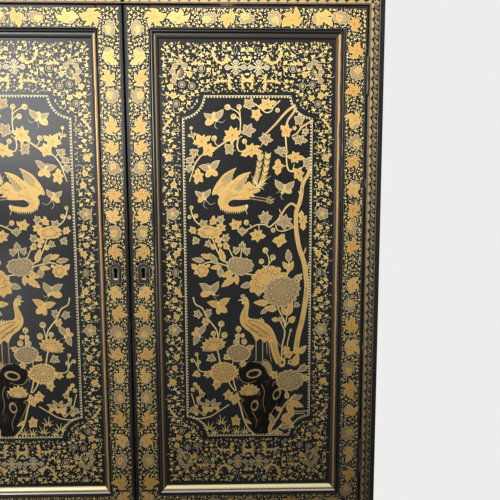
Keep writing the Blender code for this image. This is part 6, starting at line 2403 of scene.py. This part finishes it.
    def draw_border(self) -> Drawing:
        """Draw the panel's border and the bead line of its cartouche."""
        plan = self.plan
        middle = np.array([(plan.open_in + plan.open_out) / 2, (plan.low + plan.high) / 2])
        sheet = Relief(rim=0.42)
        brush = Brush(sheet, 0.34, seed=5)
        for fold in ((1, 1), (-1, 1), (1, -1), (-1, -1)):
            sheet.place = partial(self.folded, middle, fold)
            brush.random.seed(5)
            self.draw_quarter(brush)
        sheet.place = lambda points: points * MM
        outline = self.cartouche(0.0)
        sheet.stroke(Tone.CREAM, ring_line(grow(outline, 1.9)), 1.1)
        drawn = sheet.meshes("border")
        bead = Relief()
        bead.fill(Tone.CREAM, ellipse((0, 0), 1.45, 1.55, count=8), 5)
        line = polylines("bead_line", [outline * MM], closed=True)
        beads = self.leaf.repeat(line, bead.meshes("bead"), self.bead_pitch)
        guard = beads[Tone.CREAM]
        filled = self.fill_ground(drawn, self.border_ground(), guard, 41, (8.6, 7.6, 6.4, 5.6), 1.1)
        return merge(filled, beads)

    def folded(self, middle: np.ndarray, fold: tuple[int, int], pixels: np.ndarray) -> np.ndarray:
        """Take pixels to the panel's face, turned over about its middle on either axis."""
        return middle + (self.view.on_plane(pixels, self.plan.panel) - middle) * fold

    def cartouche(self, out: float) -> np.ndarray:
        """The cartouche's outline with its hollow corners, in millimetres.

        Args:
            out: how far it is moved outwards.

        Returns:
            The outline.
        """
        plan = self.plan
        left = plan.open_in / MM + self.cartouche_left - out
        right = plan.open_out / MM - self.cartouche_right + out
        low = plan.open_low / MM + self.cartouche_foot - out
        high = plan.open_high / MM - self.cartouche_head + out
        shift = 3.7  # how far outside the corners the hollows' centres lie
        trim = math.degrees(math.atan2(shift, self.hollow + shift))
        radius = math.hypot(shift, self.hollow + shift)
        left, right, low, high = left - shift, right + shift, low - shift, high + shift
        points: list[np.ndarray] = []
        corners = (((left, low), 90), ((right, low), 180), ((right, high), 270), ((left, high), 360))
        for corner, first in corners:
            angles = np.radians(np.linspace(first - trim, first - 90 + trim, 9))
            points += [polar(corner, angle, radius) for angle in angles]
        return np.array(points)

    def border_ground(self) -> bpy.types.Mesh:
        """The flat ground of the border, between the panel's edge and the cartouche."""
        plan, gap = self.plan, self.ground_gap
        left, right = plan.open_in / MM + gap, plan.open_out / MM - gap
        low, high = plan.open_low / MM + gap, plan.open_high / MM - gap
        (x0, y0), (x1, y1) = self.cartouche(8.0).min(0), self.cartouche(8.0).max(0)
        spans = [(left, low, right, y0), (left, y1, right, high), (left, y0, x0, y1), (x1, y0, right, y1)]
        points = [(x * MM, y * MM, 0.0) for a, b, c, d in spans for x, y in ((a, b), (c, b), (c, d), (a, d))]
        faces = [tuple(range(4 * k, 4 * k + 4)) for k in range(4)]
        for corner, start in (((x0, y0), 0), ((x1, y0), 90), ((x1, y1), 180), ((x0, y1), 270)):
            arc = [polar(corner, math.radians(start + turn), 32.5) for turn in range(0, 91, 15)]
            faces.append(tuple(range(len(points), len(points) + len(arc) + 1)))
            points += [(x * MM, y * MM, 0.0) for x, y in [corner, *arc]]
        return plain_mesh("border_ground", points, faces=faces)

    def draw_quarter(self, brush: Brush) -> None:
        """Draw the upper left quarter of the border, in pixels of the photograph."""
        brush.cross_flower((235.2, 67.4), 10.8)
        for x, y, lean in self.corner_petals:
            brush.petal((x, y), 2.8, math.radians(lean), Tone.PALE, 2)
        spray = (177, 71.6)
        for angle in range(-40, 101, 20):
            tip = polar(spray, math.radians(angle), 8.4 - 0.02 * abs(angle - 30))
            brush.line([spray, polar(spray, math.radians(angle - 6), 5), tip], Tone.BRIGHT, 4, 1.7)
            brush.berry(tip, 0.7, Tone.CREAM)
        for x, y, size in self.medallions:
            brush.medallion((x, y), size)
        for spine, width in self.scrolls:
            brush.acanthus(spine, width)
        brush.line(ring_line(ellipse((235, 50.2), 1.5, 3.2, count=16)), Tone.CREAM, 2, 1.4)
        for x, y in ((232, 53.6), (238.4, 53.6), (231.6, 57.4), (238.6, 57.4), (235.4, 80.8), (247.6, 74.2)):
            brush.berry((x, y), 0.75, Tone.CREAM)
        for x, y, size in self.top_leaves + self.side_leaves:
            if y < 112:  # above the side borders
                heading = brush.random.uniform(-150, -30)
            else:
                heading = brush.random.choice((-90, 90)) + brush.random.uniform(-50, 50)
            if size > self.large:
                brush.ivy((x, y), size, heading, Tone.GOLD)
            else:
                brush.trefoil((x, y), size, heading, Tone.BRIGHT)
        rosette = (172, 214)
        for k in range(5):
            angle = k * math.tau / 5
            brush.petal(polar(rosette, angle, 3.9), 2.5, angle, Tone.PALE, 2 + 2 * (k % 2))
        brush.berry(rosette, 1.5)
        for k in range(13):
            for x, heading in ((163.2 + 0.02 * k, 0), (178.4 + 0.12 * k, 180)):
                if x < 170 or k > 0:
                    brush.hook((x, 119 + 11.8 * k), 1.3, heading)


def face_edge(node: str, axis: int, way: int, run: int, rise: int) -> np.ndarray:
    """The lower edge of a solid's flat face.

    Args:
        node: the solid's name.
        axis: the axis that the face looks along.
        way: 1 or -1, the way that it looks.
        run: the axis along the edge.
        rise: the axis across it.

    Returns:
        The run and the least rise at each step of it, in millimetres.
    """
    low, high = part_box(node)
    face = high[axis] if way > 0 else low[axis]
    least: dict[int, float] = {}
    for vertex in frame["nodes"][node].data.vertices:
        if abs(vertex.co[axis] - face) < 0.6 * MM:
            step = round(vertex.co[run] / (2 * MM))
            least[step] = min(least.get(step, math.inf), vertex.co[rise] / MM)
    return np.array([(2.0 * step, least[step]) for step in sorted(least)])


def paint(node: str, material: bpy.types.Material) -> None:
    """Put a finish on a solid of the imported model."""
    solid = frame["nodes"][node]
    if not solid.material_slots:
        solid.data.materials.append(material)
    for holder in solid.material_slots:
        holder.material = material


# Case, stand and hardware
@dataclass
class Case:
    """The carcase: lacquered boards, a wave band round its front edge, the doors' ornament on its sides."""

    leaf: Leaf
    doors: Doors
    boards: tuple[str, ...] = ("top_board", "bottom_board", "left_side", "right_side")
    inner: tuple[str, ...] = ("back_panel", "shelf_1", "shelf_2", "left_door_stop", "right_door_stop")
    pitch: float = 14.7
    near: float = 8.2
    far: float = 23.0
    side_band: float = 25.0
    half_band: float = 10.5
    enlarge: float = 1.08

    def build(self) -> None:
        """Dress the carcase."""
        for node in self.boards:
            paint(node, LACQUER.material(node, 22.0 * MM if node == "top_board" else None))
        for node in self.inner:
            paint(node, INNER_LACQUER.material(node))
        self.dress_edge()
        self.dress_sides()

    def dress_sides(self) -> None:
        """Lay the doors' scene and border on both sides, a little larger, between two upright wave bands."""
        plan = self.doors.plan
        middle = ((plan.open_in + plan.open_out) / 2, (plan.low + plan.high) / 2)
        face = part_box("right_side")[1][0]
        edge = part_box("right_side")[1][1] / MM
        foot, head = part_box("bottom_board")[1][2] / MM + 5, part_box("top_board")[0][2] / MM - 5
        band = edge - self.side_band
        lines = [[(-band, head), (-band, foot)], [(band, foot), (band, head)]]
        rows = polylines("side_line", [np.array(line) * MM for line in lines])
        waves = self.leaf.repeat(rows, self.unit(), self.pitch)
        sheet = Relief(rim=0.4)
        inner, outer = band - self.half_band, band + self.half_band
        for out in (-outer, -inner, inner, outer):
            sheet.stroke(Tone.PALE, [(out, foot - 2), (out, head + 2)], 0.8)
        for height in (foot - 2, head + 2):
            sheet.stroke(Tone.PALE, [(-outer, height), (outer, height)], 0.8)
        bands = merge(sheet.meshes("side"), waves)
        for name, facing, place in (("right", Facing.RIGHT, face), ("left", Facing.LEFT_MIRRORED, -face)):
            origin = (place, -self.enlarge * middle[0], (1 - self.enlarge) * middle[1])
            for kind, drawing in (("scene", self.doors.scene), ("border", self.doors.border)):
                self.leaf.apply(drawing, f"case_{name}_side_{kind}", "case", facing, origin, self.enlarge)
            self.leaf.apply(bands, f"case_{name}_side_band", "case", facing, (place, 0, 0))

    def unit(self) -> Drawing:
        """One wave of the band: a crescent, dashes and nested arcs, along X with its inner side at +Y."""
        sheet = Relief(rim=0.3)
        crescent = [(-7.0, 6.2), (6.6, 6.2), (6.8, 5.0), (4.0, 3.0), (1.2, 1.6), (-2.6, 1.5), (-5.6, 3.2)]
        sheet.fill(Tone.PALE, spline(crescent, closed=True, steps=2), 1)
        for x in (0.0, 2.5):
            sheet.stroke(Tone.CREAM, [(x - 0.2, -5.8), (x + 1.8, -2.4), (x + 4.4, 0.6)], 1.1, 0.8, 1)
        for radius in (1.0, 2.4, 3.8):
            arc = [polar((-3.4, -3.4), math.radians(angle), radius) for angle in range(-30, 241, 27)]
            sheet.stroke(Tone.PALE, arc, 0.85, 0.6, 1)
        return sheet.meshes("wave")

    def dress_edge(self) -> None:
        """Lay the band round the front edge, one half and its mirror image."""
        side, top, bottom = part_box("right_side"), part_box("top_board"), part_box("bottom_board")
        out, high, low = side[1][0] / MM, top[1][2] / MM, bottom[0][2] / MM
        centre = (self.near + self.far) / 2
        upright = [(out - centre, low + self.far + 2), (out - centre, high - self.far)]
        level = [(out - self.far, high - centre), (3.0, high - centre)]
        lines = polylines("wave_line", [np.array(upright) * MM, np.array(level) * MM])
        waves = self.leaf.repeat(lines, self.unit(), self.pitch)
        sheet = Relief(rim=0.4)
        for inset in (self.near, self.far):
            sheet.stroke(Tone.PALE, [(out - inset, low + self.near), (out - inset, high - inset)], 0.8)
            sheet.stroke(Tone.PALE, [(out - inset, high - inset), (0, high - inset)], 0.8)
        sheet.stroke(Tone.PALE, [(out - self.far, high - self.far), (out - self.near, high - self.near)], 0.7)
        drawing = merge(sheet.meshes("edge"), waves)
        for name, facing in FRONTS:
            self.leaf.apply(drawing, f"case_{name}_edge", "case", facing, (0, side[0][1], 0))


@dataclass
class Stand:
    """The waisted stand: ruled rails, a vine on the front and side aprons and up each leg."""

    leaf: Leaf
    rails: tuple[str, ...] = ("front", "right", "rear", "left")
    vine: tuple[Tone, ...] = (Tone.GOLD, Tone.PALE, Tone.AMBER)
    apron_top: float = 544.0  # where an apron's flat face ends, in millimetres
    leg_face: tuple[float, float] = (9.0, 447.0)  # where a leg's flat face starts and ends

    def build(self) -> None:
        """Dress the stand."""
        for name in self.rails:
            paint(f"stand_{name}_rail", LACQUER.material(f"stand_{name}_rail", 4.0 * MM))
            paint(f"{name}_apron", LACQUER.material(f"{name}_apron"))
        for depth in ("front", "rear"):
            for side in ("left", "right"):
                node = f"{depth}_{side}_leg"
                paint(node, LACQUER.material(node))
        self.dress_aprons()
        self.dress_legs()

    def dress_aprons(self) -> None:
        """Lay a vine on the front and side aprons."""
        front = self.draw_apron(face_edge("front_apron", 1, -1, 0, 2))
        side = self.draw_apron(face_edge("right_apron", 0, 1, 1, 2))
        depth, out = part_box("front_apron")[0][1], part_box("right_apron")[1][0]
        self.leaf.apply(front, "front_apron_vine", "case", Facing.FRONT, (0, depth, 0))
        self.leaf.apply(side, "right_apron_vine", "case", Facing.RIGHT, (out, 0, 0))
        self.leaf.apply(side, "left_apron_vine", "case", Facing.LEFT, (-out, 0, 0))

    def draw_apron(self, edge: np.ndarray) -> Drawing:
        """Draw an apron's vine, from a flower in its middle out to both ends.

        Args:
            edge: the apron's lower edge, in millimetres.

        Returns:
            The drawing.
        """
        top, half = self.apron_top, edge[:, 0].max()
        sheet = Relief(rim=0.5)
        brush = Brush(sheet, 0.6, seed=23)
        sheet.stroke(Tone.GOLD, edge[np.abs(edge[:, 0]) < half - 5] + (0, 5), 0.9)
        sheet.stroke(Tone.GOLD, [(5 - half, top - 4), (half - 5, top - 4)], 0.9)
        brush.cross_flower((0, (np.interp(0, *edge.T) + top) / 2), 16)
        for way in (-1, 1):
            run = np.arange(22.0, half - 30, 7.0)
            floor = np.interp(way * run, *edge.T)
            stem = [(way * x, (z + top) / 2 + 5 * math.sin(x / 11)) for x, z in zip(run, floor)]
            brush.branch(stem, 1.7, 1.1)
            for k, (x, z) in enumerate(stem[1:]):
                side = -1 if k // 2 % 2 else 1
                if k % 2:
                    brush.berry((x, z + side * 6.5), 1.6)
                else:
                    brush.ivy((x, z + side * 7.5), 6.2, side * 90 + 15 * way, self.vine[k % 3])
            end = way * (half - 15)
            brush.flame((end, (np.interp(end, *edge.T) + top) / 2), (13, 24), 90 - 90 * way, 5, Tone.GOLD)
        return sheet.meshes("apron")

    def dress_legs(self) -> None:
        """Lay a vine on each outer face of the legs but the rearmost."""
        low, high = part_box("front_right_leg")
        out, front = high[0], low[1]
        shift = out + front
        drawing = self.draw_leg(out / MM)
        places = (
            ("front_right_leg_front", Facing.FRONT, (0, front, 0)),
            ("front_left_leg_front", Facing.FRONT_MIRRORED, (0, front, 0)),
            ("front_right_leg_side", Facing.RIGHT_MIRRORED, (out, shift, 0)),
            ("rear_right_leg_side", Facing.RIGHT, (out, -shift, 0)),
            ("front_left_leg_side", Facing.LEFT, (-out, shift, 0)),
            ("rear_left_leg_side", Facing.LEFT_MIRRORED, (-out, -shift, 0)),
        )
        for name, facing, origin in places:
            self.leaf.apply(drawing, f"{name}_vine", "case", facing, origin)

    def draw_leg(self, out: float) -> Drawing:
        """Draw the front right leg's vine between two lines.

        Args:
            out: the leg's outer edge, in millimetres.

        Returns:
            The drawing.
        """
        edge = face_edge("front_right_leg", 1, -1, 2, 0)
        low, high = self.leg_face
        edge = edge[(edge[:, 0] > low) & (edge[:, 0] < high)]
        sheet = Relief(rim=0.45)
        brush = Brush(sheet, 0.55, seed=31)
        sheet.stroke(Tone.GOLD, edge[:, ::-1] + (3.6, 0), 0.9)
        sheet.stroke(Tone.GOLD, [(out - 3.6, edge[0, 0]), (out - 3.6, edge[-1, 0])], 0.9)
        rows = np.arange(46.0, 432.0, 9.0)
        middle = (np.interp(rows, *edge.T) + out) / 2
        stem = [(x + 4 * math.sin(z / 13), z) for x, z in zip(middle, rows)]
        brush.branch(stem, 1.7, 1.1)
        for k, (x, z) in enumerate(stem):
            side = -1 if k // 2 % 2 else 1
            if k % 2:
                brush.berry((x + side * 5.5, z), 1.5)
            else:
                brush.ivy((x + side * 6.5, z), 5.4, 90 - 75 * side, self.vine[k % 3])
        brush.shell(((np.interp(20, *edge.T) + out) / 2, 14), (15, 22), 90)
        return sheet.meshes("leg")


@dataclass
class Hardware:
    """Hinges, lock, bolts and keyhole plates, with their screws."""

    END, BACK = 8 * MM, 7 * MM  # a hinge screw's distance from its leaf's end and rear edge
    LOCK_INSET, GUIDE_INSET = 3.9 * MM, 2.9 * MM  # a plate screw's distance from the plate's edges
    BOW, SLOT, BOW_AT, SLOT_AT = 3.2, 2.3, 19.7, 7.5  # a keyhole's radius, half width and heights, in mm

    brass: bpy.types.Material = field(default_factory=BRASS.material)
    bronze: bpy.types.Material = field(default_factory=BRONZE.material)
    props: Props = field(default_factory=Props)

    def build(self) -> None:
        """Dress the hardware."""
        seats: dict[str, list[tuple[Vector, Vector]]] = {"case": [], "left_door": [], "right_door": []}
        for side, way in (("left", -1), ("right", 1)):
            paint(f"{side}_escutcheon", self.bronze)
            for level in ("upper", "lower"):
                hinge = f"{side}_{level}_hinge"
                paint(f"{hinge}_pin", self.brass)
                for part, body, turn in (("case_leaf", "case", way), ("door_leaf", f"{side}_door", -way)):
                    paint(f"{hinge}_{part}", self.bronze)
                    seats[body] += self.hinge_seats(hinge, part, turn)
        for node, body in (("lock_case", "right_door"), ("lock_keeper", "left_door")):
            paint(node, self.brass)
            seats[body] += self.plate_seats(node, self.LOCK_INSET)
        paint("lock_bolt", self.brass)
        for level in ("top", "bottom"):
            paint(f"{level}_slide_bolt", self.brass)
            paint(f"{level}_slide_bolt_guide", self.brass)
            seats["left_door"] += self.plate_seats(f"{level}_slide_bolt_guide", self.GUIDE_INSET)
        recipe, head = screw_recipe(), self.screw_head()
        for body, places in seats.items():
            self.set_screws(recipe, head, body, places)
        self.dress_plates()

    @staticmethod
    def seat(node: str, start: Vector, way: Vector) -> tuple[Vector, Vector]:
        """Where a solid is met from a point, and the way out from there."""
        met, place, _, _ = frame["nodes"][node].ray_cast(start, way)
        if not met:
            raise ValueError(f"no seat for a screw on {node}")
        return place, -way

    def hinge_seats(self, hinge: str, part: str, turn: int) -> list[tuple[Vector, Vector]]:
        """Three screws down the face of a hinge leaf that its fellow covers when the door is shut."""
        low, high = (Vector(corner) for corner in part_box(f"{hinge}_{part}"))
        pin = [Vector(corner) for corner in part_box(f"{hinge}_pin")]
        x, y, way = ((pin[0] + pin[1]) / 2).x, high.y - self.BACK, Vector((turn, 0, 0))
        rows = (low.z + self.END, (low.z + high.z) / 2, high.z - self.END)
        return [self.seat(f"{hinge}_{part}", Vector((x, y, z)), way) for z in rows]

    def plate_seats(self, node: str, inset: float) -> list[tuple[Vector, Vector]]:
        """Four screws in the corners of a plate on the doors' inner face."""
        low, high = (Vector(corner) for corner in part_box(node))
        corners = [(x, z) for x in (low.x + inset, high.x - inset) for z in (low.z + inset, high.z - inset)]
        return [self.seat(node, Vector((x, high.y + 20 * MM, z)), Vector((0, -1, 0))) for x, z in corners]

    @staticmethod
    def screw_head() -> bpy.types.Mesh:
        """A low round head with a slot."""
        sheet = Relief()
        sheet.fill(Tone.GOLD, ellipse((0, 0), 1.9, 1.9, count=14))
        for start in (14, 194):
            half = [polar((0, 0), math.radians(start + turn), 1.65) for turn in range(0, 153, 19)]
            sheet.fill(Tone.GOLD, half, 5)
        return joined(sheet.meshes("screw").values(), "screw")

    def set_screws(
        self, recipe: Recipe, head: bpy.types.Mesh, body: str, places: Sequence[tuple[Vector, Vector]]
    ) -> None:
        """Set a body's screws."""
        mesh = plain_mesh(f"{body}_screws", [place for place, _ in places])
        outward = mesh.attributes.new("outward", "FLOAT_VECTOR", "POINT")
        outward.data.foreach_set("vector", [part for _, way in places for part in way])
        made = recipe.run(mesh, Unit=self.props.single(head), Finish=self.brass)
        self.props.clear()
        piece = placed(f"{body}_screws", made)
        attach(piece, body)

    def dress_plates(self) -> None:
        """Raise a rim round each keyhole and lay a strip of near-white metal below it, a painted highlight
        for the glint that the plate catches there.
        """
        low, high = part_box("right_escutcheon")
        middle, foot = (low[0] + high[0]) / 2 / MM, low[2] / MM
        rim, sill = Relief(), Relief()
        rim.ribbon(Tone.PALE, self.keyhole(middle, foot, 2.1), self.keyhole(middle, foot, 1.0), 4)
        # The strip below the keyhole: a painted highlight in bright metal, not wear.
        worn = [(middle - 2.9, foot + 5.9), (middle, foot + 5.7), (middle + 2.9, foot + 5.9)]
        sill.stroke(Tone.PALE, worn, 2.2, layer=8)
        for name, sheet, finish in (("rim", rim, RIM), ("sill", sill, GLINT_METAL)):
            mesh, material = sheet.meshes(name)[Tone.PALE], finish.material()
            for side, facing in FRONTS:
                piece = f"{side}_keyhole_{name}"
                lay(mesh, facing, (0, low[1], 0), piece, f"{side}_door", material)

    def keyhole(self, middle: float, foot: float, out: float) -> np.ndarray:
        """The keyhole's closed outline moved outwards, in millimetres."""
        radius, half, sole = self.BOW + out, self.SLOT + out, foot + self.SLOT_AT - out
        start = math.degrees(math.asin(half / radius)) - 90
        angles = np.radians(np.linspace(start, 180 - start, 15))
        bow = [polar((middle, foot + self.BOW_AT), angle, radius) for angle in angles]
        return ring_line(np.array([*bow, (middle - half, sole), (middle + half, sole)]))


# Studio
@dataclass(frozen=True)
class Lamp:
    """One square area lamp that looks at a point, in metres and watts, with its beam's spread in degrees."""

    name: str
    place: tuple[float, float, float]
    aim: tuple[float, float, float]
    size: float
    power: float
    spread: float = 180.0

    def add(self) -> None:
        """Add it to the scene."""
        light = bpy.data.lights.new(self.name, "AREA")
        light.energy = self.power
        light.size = self.size
        light.spread = math.radians(self.spread)
        lamp = placed(self.name, light)
        lamp.location = self.place
        lamp.rotation_euler = (Vector(self.aim) - Vector(self.place)).to_track_quat("-Z", "Y").to_euler()


LAMPS = (
    Lamp("key", (-0.62, -1.41, 1.74), (0.15, -0.2, 1.48), 0.82, 2.75, 39.0),
    Lamp("above", (0.02, -0.84, 2.10), (0.22, -0.2, 1.60), 0.5, 0.5, 40.0),
    Lamp("left_fill", (-0.75, -1.0, 0.80), (-0.16, -0.2, 0.80), 0.4, 0.23, 34.0),
    Lamp("rear", (0.8, 2.6, 2.2), (0.0, 0.2, 0.8), 1.4, 30.0),
    Lamp("right", (2.6, 0.5, 1.8), (0.4, 0.0, 0.8), 1.2, 16.0),
    Lamp("left", (-2.6, 0.6, 1.8), (-0.4, 0.0, 0.8), 1.2, 16.0),
)


@dataclass
class Studio:
    """A pale floor and surround, soft lamps and the photograph's camera."""

    view: PhotoView
    floor_span: tuple[float, float, float, float] = (-2.4, -2.4, 2.4, 0.55)
    pale: tuple[Colour, Colour] = (srgb(228, 227, 224), srgb(238, 237, 234))
    dull: Colour = srgb(90, 86, 80)
    lift: Colour = srgb(232, 231, 228)
    dark: Colour = (0.0, 0.0, 0.0, 1.0)
    surround: Colour = srgb(237, 238, 236)
    ambient: Colour = (0.017, 0.017, 0.018, 1.0)

    def build(self) -> None:
        """Set the stage, softly lit from above on the left."""
        self.make_floor()
        for lamp in LAMPS:
            lamp.add()
        self.make_surround()
        self.make_camera()
        bpy.context.scene.view_settings.view_transform = "Standard"

    def make_floor(self) -> None:
        """Make the floor, pale where it is seen and dull where it only lights."""
        mesh = rectangles("floor", [self.floor_span])
        shader = Shader("floor")
        seen, pale = shader.seen(), shader.mix(shader.noise(3.0, 3.0), *self.pale)
        finish = shader.dress(
            Base_Color=shader.mix(seen, self.dull, pale),
            Roughness=0.85,
            Emission_Color=shader.mix(seen, self.dark, self.lift),
            Emission_Strength=0.30,
        )
        mesh.materials.append(finish)
        floor = placed("floor", mesh)

    def make_surround(self) -> None:
        """Make the world, pale where it is seen and nearly dark where it only lights."""
        world = Surround()
        world.feed(world.surface.inputs["Color"], world.mix(world.seen(), self.ambient, self.surround))
        world.feed(world.surface.inputs["Strength"], 1.0)

    def make_camera(self) -> None:
        """Stand the camera where the photograph was taken."""
        view = self.view
        data = bpy.data.cameras.new("camera")
        data.sensor_width = view.sensor
        data.lens = view.sensor * view.focal / view.frame_pixels
        camera = placed("camera", data)
        turn = Matrix((view.right, view.up, -Vector(view.forward))).transposed().to_4x4()
        camera.matrix_world = Matrix.Translation(view.place) @ turn
        bpy.context.scene.camera = camera


def main() -> None:
    """Dress the cabinet and set the stage."""
    plan = DoorPlan.read()
    across, forward, below_top = 0.181, -0.879, 0.316  # the camera's place, in metres
    view = PhotoView((across, forward, plan.high - below_top))
    leaf = Leaf()
    doors = Doors(leaf, view, plan)
    for assembly in (doors, Case(leaf, doors), Stand(leaf), Hardware(), Studio(view)):
        LOG.info("building %s", type(assembly).__name__)
        assembly.build()


if __name__ == "__main__":
    main()
